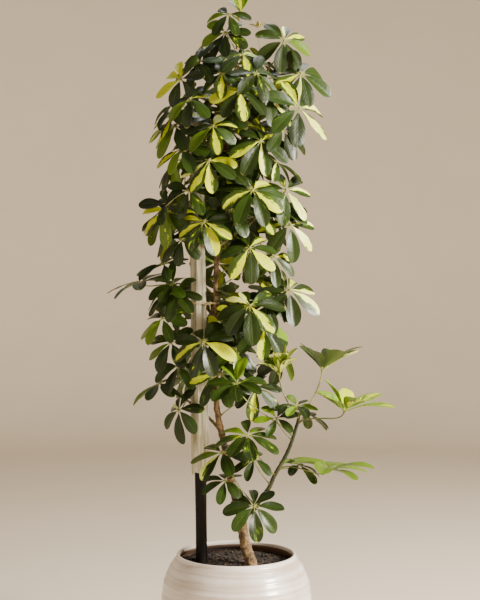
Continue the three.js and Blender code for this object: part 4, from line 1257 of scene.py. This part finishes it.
@dataclass
class Foliage:
    """The leaves: petioles, hubs and leaflets, and the twigs that carry them.

    A clasp and a collar are the height and width of a petiole's swelling at its foot and under the hub.
    """

    growth: Growth
    leaflet: LeafletMould
    hub_radius: float = 3.4
    petiole_radius: float = 1.45
    petiole_points: int = 16
    petiole_sides: int = 8
    twig_sides: int = 10
    twig_pitch: float = 4.0
    clasp: tuple[float, float] = (1.5, 9)
    collar: tuple[float, float] = (0.9, 6)
    first_scar: float = 12
    scar_pitch: float = 17
    scar_width: float = 3
    scar_height: float = 0.6
    shoot_slimness: float = 0.86
    buds: int = 9
    bud_radius: float = 3.2
    seed: int = 11

    def __post_init__(self) -> None:
        """Models the hub once and makes the finishes."""
        self.hub = Mould.of(new_ball())
        self.random = np.random.default_rng(self.seed)
        self.room = Room()
        self.stalk = GreenStalk("petiole_green", colour(76, 88, 28), colour(134, 132, 62)).material()
        self.skin = LeafSkin().material()
        self.twig_bark = Bark(
            "twig_bark", pale=colour(150, 140, 92), brown=colour(112, 98, 60), crack=colour(70, 58, 38),
            pore=colour(190, 180, 140),
        ).material()
        self.shoot = GreenStalk("shoot_green", colour(30, 38, 14), colour(66, 72, 32)).material()

    def petiole_run(self, leaf: Leaf) -> Run:
        """A petiole that is swollen where it clasps the stem and under the hub.

        Args:
            leaf: The leaf that it carries.

        Returns:
            The run of its section.
        """
        points = smooth_path(self.growth.petiole(leaf), self.petiole_points)
        points[-1] = leaf.hub - leaf.axis
        way = way_along(points)
        bark = stem_at(leaf.stem, points[0, 2])[3]
        foot = self.clasp[0] * hump(np.maximum(way - bark, 0), self.clasp[1])
        head = self.collar[0] * hump(way[-1] - way, self.collar[1])
        return Run(points, leaf.stoutness * (self.petiole_radius + foot + head))

    def twig_run(self, name: str) -> Run:
        """A twig with a raised ring at each old leaf scar.

        Args:
            name: The stem's name.

        Returns:
            The run of its section.
        """
        path = stem_path(name, self.twig_pitch)
        way = way_along(path)
        scars = np.arange(self.first_scar, way[-1], self.scar_pitch)
        rings = sum(hump(way - scar, self.scar_width) for scar in scars)
        slimness = self.shoot_slimness if name == "young_shoot" else 1
        return Run(path[:, :3], slimness * path[:, 3] + self.scar_height * rings, finish=2)

    def add_hub(self, spray: Spray, leaf: Leaf) -> None:
        """Adds a leaf's hub to a spray."""
        axes = np.vstack([leaf.side, leaf.up, leaf.axis * 0.7]) * (self.hub_radius * leaf.stoutness)
        spray.add(leaf.hub + self.hub.corners @ axes, self.hub.faces, 0)

    def add_leaflet(self, spray: Spray, rib: Rib, shape: np.ndarray, marking: Marking) -> None:
        """Adds a leaflet to a spray.

        Args:
            spray: The spray that is gathered.
            rib: The leaflet's rib.
            shape: Drawn values from 0 to 1 for its form and its markings.
            marking: How it is coloured.
        """
        look = COLOURINGS[marking]
        patched_draw, tone_draw, half_draw, cream_draw, fresh_and_glow_draw, pattern_draw = shape[6:]
        patched = np.interp(patched_draw, (0, 1), look.patched)
        tone = np.interp(tone_draw, (0, 1), look.tone)
        leaning = math.copysign(look.leaning, half_draw - 0.5)
        cream = np.clip(look.cream + 0.3 * (cream_draw - 0.5), 0, 1)
        fresh_and_glow = np.clip(look.fresh_and_glow * (0.7 + 0.6 * fresh_and_glow_draw), 0, 1)
        across, share, side = self.leaflet.mould.corners.T
        below = (side < 0).astype(float)
        spray.add(
            self.leaflet.warped(rib, shape, look.wide), self.leaflet.mould.faces, 1,
            patch=np.array([pattern_draw, patched, leaning]),
            tint=np.array([tone, fresh_and_glow, cream]),
            side=np.column_stack([below, np.full((len(below), 2), (look.dry, look.middle))]),
            chart=np.column_stack([(across + 1) / 2, share, share]),
        )

    def add_buds(self, spray: Spray, rib: Rib) -> None:
        """Adds dried buds to a spray, by turns left and right of a rib and smaller to its tip.

        Args:
            spray: The spray that is gathered.
            rib: The rib that they sit along.
        """
        for index in range(self.buds):
            share = (index + 1) / self.buds
            step = int(share * RIB_STEPS)
            aside = self.bud_radius * (1 - 0.6 * share) * (-1) ** index
            corners = self.hub.corners * (self.bud_radius - 1.4 * share) + rib.wide[step] * aside
            spray.add(rib.centres[step] + corners, self.hub.faces, 1, side=np.array([0.0, 1.0, 0.0]))

    def add_leaf(self, spray: Spray, leaf: Leaf) -> None:
        """Adds a leaf's hub and the leaflets that it took to a spray.

        Args:
            spray: The spray that is gathered.
            leaf: The leaf.
        """
        self.add_hub(spray, leaf)
        for index, letter in enumerate(leaf.letters):
            shape = self.random.random(12)
            rib = self.growth.rib(leaf, index)
            if rib is None:
                continue
            self.add_leaflet(spray, rib, shape, Marking(letter))
            if letter == Marking.DRY.value:
                self.add_buds(spray, rib)

    def dress(self, node: str, leaves: list[Leaf], slot: str) -> None:
        """Makes the finished piece for one node.

        Args:
            node: The plain solid that it stands for.
            leaves: The leaves on it.
            slot: The material slot of its plain solid, handed on to seat.
        """
        spray = Spray()
        runs = [self.petiole_run(leaf) for leaf in leaves]
        for leaf in leaves:
            self.add_leaf(spray, leaf)
        finishes = (self.stalk, self.skin, self.shoot if node == "young_shoot" else self.twig_bark)
        parts = [tubes(f"{node}_stalks", runs, self.petiole_sides, finishes)]
        if node in STEMS:
            parts.append(tubes(f"{node}_wood", [self.twig_run(node)], self.twig_sides, finishes))
        piece = join(spray.piece(f"{node}_grown", finishes), *parts)
        seat(piece, slot, node)
        self.room.take(corner_places(piece) / MM)

    def build(self) -> None:
        """Dresses every leaf of the trunk, every twig and the young shoot."""
        slots = {row["node"]: row["material_slot"] for row in frame["record"]["subparts"]}
        nodes: dict[str, list[Leaf]] = {}
        for leaf in self.growth.leaves:
            nodes.setdefault(leaf.node, []).append(leaf)
        for node, leaves in nodes.items():
            self.dress(node, leaves, slots[node])


@dataclass
class Undergrowth:
    """Leaves nearer the stems than those in the table, in a spiral, wherever there is room.

    They leave a window open in front of the stake. A pitch is the step up from each height.
    """

    foliage: Foliage
    lowest: float = 860
    highest: float = 1590
    pitches: tuple = ((860, 34), (1130, 26), (1240, 13), (1470, 14), (1590, 34))
    spiral: float = 137.5
    reach: tuple[float, float] = (30, 86)
    tilts: tuple[float, float] = (18, 58)
    droops: tuple[float, float] = (0, 18)
    spins: tuple[float, float] = (0, 50)
    count: int = 7
    above_twig: float = 50
    stake_room: float = 42
    window: tuple = ((-24, 24), (-200, 0), (640, 1340))
    window_step: float = 3
    crowded: float = 0.03
    fewest: int = 4
    letters: str = "gggggggglffy"
    parts: int = 4
    seed: int = 17

    def __post_init__(self) -> None:
        """Marks what stands there already, and the window."""
        self.random = np.random.default_rng(self.seed)
        self.room = self.foliage.room
        for name in ("trunk_bark", "sleeve_film"):
            self.room.take(corner_places(bpy.data.objects[name]) / MM)
        steps = [np.arange(*span, self.window_step) for span in self.window]
        across, back, height = (np.ravel(axis) for axis in np.meshgrid(*steps))
        self.room.take(np.column_stack([across + stake_x(height), back, height]))

    def build(self) -> None:
        """Fills the plant from below upwards, in a few pieces."""
        foliage = self.foliage
        finishes = (foliage.stalk, foliage.skin)
        number = 0
        levels = np.linspace(self.lowest, self.highest, self.parts + 1)
        for part, (low, high) in enumerate(pairwise(levels)):
            spray, runs = Spray(), []
            height = low
            while height < high:
                for stem in self.stems_at(height):
                    number += 1
                    self.grow(spray, runs, self.planned(stem, height, number))
                height += np.interp(height, *zip(*self.pitches))
            stalks = tubes(f"inner_stalks_{part}", runs, foliage.petiole_sides, finishes)
            piece = join(spray.piece(f"inner_leaves_{part}", finishes), stalks)
            seat(piece, "leaf_green")

    def stems_at(self, height: float) -> list[str]:
        """The trunk and the twigs that a leaf at a height can grow from."""
        return [
            name for name, rows in STEMS.items()
            if name != "young_shoot" and rows[0][2] < height < rows[-1][2] + self.above_twig
        ]

    def planned(self, stem: str, height: float, number: int) -> Leaf:
        """Plans a leaf.

        Args:
            stem: The stem that it grows from.
            height: The height of its hub.
            number: Its number along the spiral.

        Returns:
            The leaf, whether there is room for it or not.
        """
        foot = np.array([*stem_at(stem, height)[:2], height])
        turn = math.radians(self.spiral * number)
        reach, tilt = self.random.uniform(*self.reach), math.radians(self.random.uniform(*self.tilts))
        letters = "".join(self.random.choice(list(self.letters), self.count))
        droop, spin = self.random.uniform(*self.droops), self.random.uniform(*self.spins)
        return Leaf(
            stem, stem, foot + heading(turn, 0) * reach, heading(turn, tilt), USUAL_LENGTH, droop, spin,
            letters, self.random.random((self.count, 5)),
        )

    def grow(self, spray: Spray, runs: list[Run], leaf: Leaf) -> None:
        """Adds a leaf where most of its leaflets find room.

        Args:
            spray: The spray that gathers hubs and leaflets.
            runs: The runs that gather petioles.
            leaf: The planned leaf.
        """
        if math.dist(leaf.hub[:2], (stake_x(leaf.hub[2]), STAKE_Y)) < self.stake_room:
            return
        found = []
        for index, letter in enumerate(leaf.letters):
            shape = self.random.random(12)
            rib = self.fitting(leaf, index, shape)
            if rib is not None:
                found.append((rib, shape, Marking(letter)))
        if len(found) < self.fewest:
            return
        self.foliage.add_hub(spray, leaf)
        points = smooth_path(self.foliage.growth.planned_petiole(leaf, 0), self.foliage.petiole_points)
        runs.append(Run(points, np.full(len(points), self.foliage.petiole_radius)))
        for leaflet in found:
            self.foliage.add_leaflet(spray, *leaflet)
            self.room.take(spray.corners[-1])

    def fitting(self, leaf: Leaf, index: int, shape: np.ndarray) -> Rib | None:
        """The first try of a leaflet that is clear of what is there, or None.

        Args:
            leaf: The planned leaf.
            index: The leaflet's number round the hub.
            shape: Drawn values from 0 to 1 for its form.

        Returns:
            Its rib, or None where there is no room.
        """
        for rib in self.foliage.growth.tries(leaf, index):
            if self.room.crowding(self.foliage.leaflet.warped(rib, shape)) < self.crowded:
                return rib
        return None


@dataclass
class Trunk:
    """The trunk: tan and knobbly, with a ring at every old leaf scar."""

    pitch: float = 3.0
    sides: int = 28
    first_ring: float = 6.0
    ring_gaps: tuple[float, float] = (11.0, 21.0)
    ring_height: float = 1.3
    ring_width: float = 2.6
    knobs: tuple[float, float] = (0.016, 0.0042)
    grain: tuple[float, float] = (0.005, 0.0014)
    seed: int = 5

    def build(self) -> None:
        """Sweeps the trunk and roughens it."""
        path = stem_path("trunk", self.pitch)
        way = way_along(path)
        random = np.random.default_rng(self.seed)
        rings, place = np.zeros(len(way)), self.first_ring
        while place < way[-1] - 10:
            rings += (0.5 + random.random()) * hump(way - place, self.ring_width)
            place += random.uniform(*self.ring_gaps)
        size = np.clip(path[:, 3] / 14, 0.4, 1)
        radii = path[:, 3] + size * self.ring_height * (rings - 0.3)
        piece = tubes("trunk_bark", [Run(path[:, :3], radii)], self.sides, [Bark().material()])
        for clouds in (self.knobs, self.grain):
            roughen(piece, *clouds)
        seat(piece, "bark", "trunk", sharpest=80)


@dataclass
class Pot:
    """The pot: a thrown belly pot with a rolled lip, glazed outside and over the rim.

    The chip in its rim is in metres.
    """

    height: float = 330
    base: float = 128
    belly: float = 199
    belly_height: float = 190
    rim: float = 159
    opening: float = 150
    lip: float = 8
    wall: float = 9
    floor: float = 12
    shoulder_power: float = 2.8
    sides: int = 128
    ring_pitch: float = 3.2
    ring_depth: float = 0.5
    glaze_depth: float = 8
    bare_foot: float = 5
    wander: float = 0.0035
    wander_rate: Point = (7, 7, 20)
    chip: Point = (-0.152, -0.032, 0.330)
    chip_radius: float = 0.008
    chip_depth: float = 0.0035

    def radius(self, height: float) -> float:
        """Outside radius at a height, without the throwing rings."""
        if height < self.belly_height:
            swell = math.sin(math.pi / 2 * height / self.belly_height)
            return self.base + (self.belly - self.base) * swell
        shoulder = (height - self.belly_height) / (self.height - self.lip - self.belly_height)
        return self.belly - (self.belly - self.rim) * shoulder**self.shoulder_power

    def ringed(self, height: float) -> float:
        """Outside radius at a height, with the rings that the thrower's fingers left."""
        ripple = math.sin(height / 2.9) + 0.7 * math.sin(height / 6.7 + 1) + 0.5 * math.sin(height / 1.7)
        return self.radius(height) + self.ring_depth * (ripple - 1)

    def profile(self) -> Profile:
        """The profile from the foot up the outside, over the lip and down the inside.

        Returns:
            Radius and height of each ring, in millimetres.
        """
        lip_foot = self.height - self.lip
        foot = [(self.base - 6, 0.0), (self.base - 1.5, 0.6), (self.base, 3.0)]
        count = int((lip_foot - 6) / self.ring_pitch)
        outside = [(self.ringed(z), z) for z in np.linspace(6, lip_foot, count)]
        middle, half = (self.rim + self.opening) / 2, self.lip / 2
        round_lip = [
            (middle + half * math.cos(turn), self.height - half + half * math.sin(turn))
            for turn in np.linspace(0, math.pi, 9)
        ]
        inside = [(self.opening, lip_foot - 2), (self.opening + 1, lip_foot - 8)]
        cavity = [(self.radius(z) - self.wall, z) for z in np.linspace(lip_foot - 14, self.floor, 12)]
        return [*foot, *outside, *round_lip, *inside, *cavity, (60.0, self.floor)]

    def build(self) -> None:
        """Turns the pot, chips its rim a little and glazes it."""
        finishes = (CeramicGlaze().material(), RawClayAndShade().material())
        piece = turned("pot_glazed", self.profile(), self.sides, finishes)
        move_corners(piece, self.uneven)
        # Below the glaze line inside, the dark clay is painted shade on the inner wall; the bare foot takes
        # the clay too
        for face in piece.data.polygons:
            inward = face.normal.xy.dot(face.center.xy) < 0
            deep = face.center.z < (self.height - self.glaze_depth) * MM
            face.material_index = int((inward and deep) or face.center.z < self.bare_foot * MM)
        seat(piece, "glazed_pot", "pot")

    def uneven(self, places: np.ndarray) -> np.ndarray:
        """Corners moved as a hand-thrown wall wanders, with a small chip in the rim.

        Args:
            places: The corners' places.

        Returns:
            Their new places.
        """
        moved = places.copy()
        high = places[:, 2] > 4 * MM
        for corner in np.flatnonzero(high):
            drift = noise.noise(Vector(places[corner] * self.wander_rate))
            moved[corner, :2] *= 1 + self.wander * drift
        away = np.linalg.norm(places - np.array(self.chip), axis=1)
        moved[:, 2] -= self.chip_depth * hump(away, self.chip_radius) * high
        return moved


@dataclass
class Soil:
    """The soil: a low uneven mound, heaped a little at the trunk's foot, with crumbs on it."""

    height: float = SOIL_HEIGHT
    radius: float = 161
    mound: float = 5
    lumps: float = 2.4
    lump_size: float = 24
    heap: float = 3
    heap_radius: float = 30
    heap_place: tuple[float, float] = (40, -36)
    wall_top: float = 292
    surface_foot: float = 298
    crumbs: int = 900
    sides: int = 96
    seed: int = 3

    def top(self, x: float, y: float) -> float:
        """Height of the soil at a place, in millimetres.

        Args:
            x: The place across.
            y: The place back.

        Returns:
            The height.
        """
        share = 1 - math.hypot(x, y) / self.radius
        wave = 2 * math.sin(9 * share)
        lumps = self.lumps * noise.fractal(Vector((x, y, 0)) / self.lump_size, 0.8, 2.0, 3)
        off_heap = math.dist((x, y), self.heap_place)
        heap = self.heap * math.exp(-(off_heap / self.heap_radius) ** 2)
        return self.height + self.mound * (share - 1) + wave + lumps + heap

    def build(self, pot: Pot) -> None:
        """Fills the pot and scatters the crumbs.

        Args:
            pot: The pot that the soil lies in.
        """
        heights = np.linspace(pot.floor + 0.5, self.wall_top, 8)
        wall = [(pot.radius(z) - pot.wall - 0.5, z) for z in heights]
        surface = [(radius, self.surface_foot) for radius in np.linspace(self.radius - 1, 3, 46)]
        peat = PeatSoil().material()
        profile = [(60, wall[0][1]), *wall, *surface]
        piece = turned("soil_crumbs", profile, self.sides, [peat])
        move_corners(piece, self.heaped)
        join(piece, self.scattered(peat))
        seat(piece, "potting_soil", "potting_soil", sharpest=70)

    def heaped(self, places: np.ndarray) -> np.ndarray:
        """Corners of the surface raised to the soil's height."""
        moved = places.copy()
        for corner in np.flatnonzero(places[:, 2] > (self.surface_foot - 1) * MM):
            moved[corner, 2] = self.top(*(places[corner, :2] / MM)) * MM
        return moved

    def scattered(self, peat: Material) -> Piece:
        """Copies of one rough lump of peat, turned and squashed each its own way.

        Args:
            peat: Their material.

        Returns:
            One piece of all the crumbs.
        """
        lump = new_ball()
        roughen(lump, 0.7, 0.9)
        mould = Mould.of(lump)
        random = np.random.default_rng(self.seed)
        spray = Spray()
        for _ in range(self.crumbs):
            way, turn = self.radius * 0.96 * math.sqrt(random.random()), random.uniform(0, 2 * math.pi)
            x, y = way * math.cos(turn), way * math.sin(turn)
            size = 1.0 + 4.4 * random.random() ** 3
            stretch = random.uniform(0.5, 1.5, 3) * (1, 1, 0.6)
            tilt = np.linalg.qr(random.normal(size=(3, 3)))[0]
            tilt *= np.sign(np.linalg.det(tilt))
            place = np.array([x, y, self.top(x, y) + 0.2 * size])
            spray.add(place + (mould.corners * size * stretch) @ tilt, mould.faces, 0)
        return spray.piece("crumbs", [peat])


@dataclass
class Stake:
    """The stake: a dark post, a wrinkled film sleeve drawn over it, and two string ties."""

    post_radius: float = 15.5
    post_top: float = 1466
    sleeve_foot: float = 538
    sleeve_top: float = SLEEVE_TOP
    foot_radius: float = 25
    mid_radius: float = 21.5
    top_radius: float = 20
    gather: float = 6
    film: float = 0.5
    post_sides: int = 48
    sleeve_sides: int = 96
    string_sides: int = 6
    string_radius: float = 0.85
    twist: float = 6.5
    slack: float = 1.6
    ties: dict[str, float] = field(default_factory=lambda: {"tie_lower": 990, "tie_upper": 1316})

    def leaned(self, places: np.ndarray) -> np.ndarray:
        """Corners of an upright piece, leaned about the stake's place in the soil.

        Args:
            places: The corners' places.

        Returns:
            Their new places.
        """
        lean = math.radians(-STAKE_LEAN)
        x, z = places[:, 0], places[:, 2] - SOIL_HEIGHT * MM
        return np.column_stack([
            x * math.cos(lean) + z * math.sin(lean) + STAKE_X * MM,
            places[:, 1] + STAKE_Y * MM,
            -x * math.sin(lean) + z * math.cos(lean) + SOIL_HEIGHT * MM,
        ])

    def sleeve_radius(self, height: float) -> float:
        """Mean radius of the sleeve at a height."""
        rows = [self.sleeve_foot, (self.sleeve_foot + self.sleeve_top) / 2, self.sleeve_top]
        return float(np.interp(height, rows, [self.foot_radius, self.mid_radius, self.top_radius]))

    def build(self) -> None:
        """Makes the post, the sleeve and the ties."""
        self.build_post()
        self.build_sleeve()
        string = PlantString().material()
        for node, height in self.ties.items():
            self.build_tie(node, height, string)

    def build_post(self) -> None:
        """Turns the post, a little uneven, with a rounded top."""
        radius = self.post_radius
        heights = np.linspace(ROOT_HEIGHT, self.post_top - 2, 60)
        profile = [(radius - 0.3 + 0.3 * math.sin(z / 37), z) for z in heights]
        profile += [(radius - 1, self.post_top - 0.5), (radius - 3, self.post_top)]
        piece = turned("post_wood", profile, self.post_sides, [DarkPost().material()])
        move_corners(piece, self.leaned)
        seat(piece, "stake_post", "stake_post")

    def build_sleeve(self) -> None:
        """Draws up the film sleeve, wrinkles it, gathers its top and gives it a wall."""
        shoulder = self.sleeve_top - self.gather
        profile = [(self.sleeve_radius(z), z) for z in np.linspace(self.sleeve_foot, shoulder, 120)]
        for share in np.linspace(0.15, 1, 6):
            closing = math.cos(math.pi / 2 * share)
            profile.append((max(self.top_radius * closing, 1.2), shoulder + 5.5 * share))
        film = HazyFilm().material()
        piece = turned("sleeve_film", profile, self.sleeve_sides, [film], filled=False)
        move_corners(piece, self.wrinkled)
        move_corners(piece, self.leaned)
        thicken(piece, self.film * MM)
        seat(piece, "sleeve_film", "stake_sleeve", sharpest=70)

    def wrinkled(self, places: np.ndarray) -> np.ndarray:
        """Corners pushed in and out as long folds that wander up the sleeve.

        Args:
            places: The corners' places.

        Returns:
            Their new places.
        """
        x, y, z = places.T
        turn, height = np.arctan2(y, x), z / MM
        wander = 0.6 * np.sin(height / 130) + 0.4 * np.sin(height / 47 + 2)
        folds = 0.5 * np.cos(5 * (turn + wander)) + 0.3 * np.cos(9 * turn - height / 70)
        folds = folds + 0.2 * np.cos(14 * turn + height / 31)
        body = np.clip((self.sleeve_top - height) / 12, 0, 1)
        radius = np.hypot(x, y) + MM * body * 1.5 * (folds - 0.8)
        foot = np.clip(1 - (height - self.sleeve_foot) / 30, 0, 1)
        rag = np.maximum(7 * np.sin(3 * turn + 0.6) + 3 * np.sin(8 * turn), 0)
        return np.column_stack([radius * np.cos(turn), radius * np.sin(turn), z + MM * foot * rag])

    def build_tie(self, node: str, height: float, string: Material) -> None:
        """Makes one tie: two twisted strands round the sleeve and the trunk, knotted in front.

        Args:
            node: The plain solid that it stands for.
            height: Its height.
            string: The string's material.
        """
        stake = np.array([stake_x(height), STAKE_Y, height])
        trunk = stem_at("trunk", height)
        facing = math.atan2(trunk[1] - stake[1], trunk[0] - stake[0])
        stake_ring = self.sleeve_radius(height) + self.slack
        trunk_ring = trunk[3] + self.slack + 1
        wrap = math.acos((stake_ring - trunk_ring) / math.dist(trunk[:2], stake[:2]))
        round_trunk = self.arc(trunk, trunk_ring, np.linspace(-wrap, wrap, 12) + facing)
        round_stake = self.arc(stake, stake_ring, np.linspace(wrap, 2 * math.pi - wrap, 12) + facing)
        knot = (round_stake[-1] + round_trunk[0]) / 2
        loop = smooth_path([knot, *round_trunk, *round_stake, knot], 220)
        paths = [loop, smooth_path(loop + (0, 0, 2.6), 220)]
        for side in (-1, 1):
            tail = [knot, knot + (side * 4, -5, -2), knot + (side * 6, -6, -9), knot + (side * 6, -6, -16)]
            bends = [(side * 6, -3, 5), (side * 8, -4, 0), (side * 3, -3, -2)]
            bow = [knot, *(knot + bend for bend in bends), knot]
            paths += [smooth_path(tail, 40), smooth_path(bow, 50)]
        turns = np.linspace(0, 2 * math.pi, 24)
        wraps = [knot + (1.2 * math.cos(t), 2.4 * math.cos(t) - 1.5, 2.4 * math.sin(t) + 1) for t in turns]
        paths.append(np.array(wraps))
        runs = [strand for path in paths for strand in self.strands(path)]
        seat(tubes(f"{node}_string", runs, self.string_sides, [string]), "tie_string", node)

    @staticmethod
    def arc(centre: np.ndarray, radius: float, turns: np.ndarray) -> list[np.ndarray]:
        """Points round a centre at its height."""
        return [centre[:3] + radius * heading(turn, 0) for turn in turns]

    def strands(self, path: np.ndarray) -> list[Run]:
        """Two strands twisted round each other along a path.

        Args:
            path: The points that they follow.

        Returns:
            The run of each strand.
        """
        along = unit(np.gradient(path, axis=0))
        out = unit(np.cross(along, UP + (0.01, 0.02, 0)))
        other = np.cross(along, out)
        runs = []
        for start in (0, math.pi):
            turn = (2 * math.pi * way_along(path) / self.twist + start)[:, None]
            points = path + 0.7 * self.string_radius * (out * np.cos(turn) + other * np.sin(turn))
            runs.append(Run(points, np.full(len(points), self.string_radius)))
        return runs


@dataclass(frozen=True)
class Lamp:
    """A soft square light: its name, place, target, side in metres, power in watts and colour."""

    name: str
    place: Point
    target: Point
    size: float
    power: float
    tint: Point

    def hang(self) -> None:
        """Hangs the light."""
        light = bpy.data.lights.new(self.name, "AREA")
        light.size = self.size
        light.energy = self.power
        light.color = self.tint
        holder = put(self.name, light)
        holder.location = self.place
        aim = Vector(self.target) - Vector(self.place)
        holder.rotation_euler = aim.to_track_quat("-Z", "Y").to_euler()


@dataclass
class Studio:
    """The camera, the soft lights and the pale floor."""

    eye: Point = (0.010, -2.98, 1.0)
    lens: float = 67.4
    floor_radius: float = 4600
    sweep_radius: float = 1400
    wall_height: float = 4200
    lamps: tuple[Lamp, ...] = (
        Lamp("key", (3.0, -1.6, 2.1), (0, 0, 0.85), 1.0, 540, (1.0, 0.94, 0.84)),
        Lamp("fill", (-2.4, -2.4, 1.4), (0, 0, 0.9), 2.4, 12, (0.94, 0.96, 1.0)),
        Lamp("top", (0.2, 0.9, 3.4), (0, 0, 1.0), 1.4, 40, (0.98, 0.98, 1.0)),
    )
    air: Colour = colour(236, 230, 218)
    air_strength: float = 0.19

    def build(self) -> None:
        """Sets the camera, the floor and the lights."""
        self.set_camera()
        self.lay_floor()
        for lamp in self.lamps:
            lamp.hang()
        world = bpy.context.scene.world or bpy.data.worlds.new("studio")
        bpy.context.scene.world = world
        world.use_nodes = True
        background = world.node_tree.nodes["Background"].inputs
        background["Color"].default_value = self.air
        background["Strength"].default_value = self.air_strength

    def set_camera(self) -> None:
        """Puts the camera where the photographer stood, level and looking to the back."""
        camera = bpy.data.cameras.new("camera")
        camera.lens = self.lens
        camera.sensor_width = 36
        holder = put("camera", camera)
        holder.location = self.eye
        holder.rotation_euler = (math.pi / 2, 0, 0)
        bpy.context.scene.camera = holder

    def lay_floor(self) -> None:
        """Lays a round pale floor that sweeps up into a wall on all sides."""
        shader = Shader("pale_floor")
        base = shader.blend(shader.cloud(shader.place(), 3.0), colour(222, 207, 184), colour(228, 214, 193))
        finish = shader.finished(Base_Color=base, Roughness=0.8)
        radius, rise = self.floor_radius, self.sweep_radius
        turns = np.linspace(0, math.pi / 2, 17)
        sweep = [(radius + rise * math.sin(turn), rise * (1 - math.cos(turn)) - 0.5) for turn in turns]
        profile = [*sweep, (sweep[-1][0], self.wall_height)]
        floor = turned("floor", profile, 128, [finish], filled=False)
        select(floor)
        enter_edit("DESELECT")
        bpy.ops.object.mode_set(mode="OBJECT")
        for edge in floor.data.edges:
            edge.select = all(floor.data.vertices[corner].co.z < 0 for corner in edge.vertices)
        bpy.ops.object.mode_set(mode="EDIT")
        bpy.ops.mesh.edge_face_add()
        close_edit(inside=True)
        smooth(floor, 30)
        floor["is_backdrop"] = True


def write_sizes() -> None:
    """Works out the plain model's box and the finished model's box."""
    boxes = {"cad": CAD_BOX, "visual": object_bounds()}
    sizes = {name: [list(corner) for corner in box] for name, box in boxes.items()}


def main() -> None:
    """Builds the studio and then the object, piece by piece."""
    logging.basicConfig(level=logging.INFO, format="%(message)s")
    Studio().build()
    pot = Pot()
    pot.build()
    Soil().build(pot)
    Stake().build()
    Trunk().build()
    foliage = Foliage(Growth(), LeafletMould())
    foliage.build()
    Undergrowth(foliage).build()
    write_sizes()


if __name__ == "__main__":
    main()
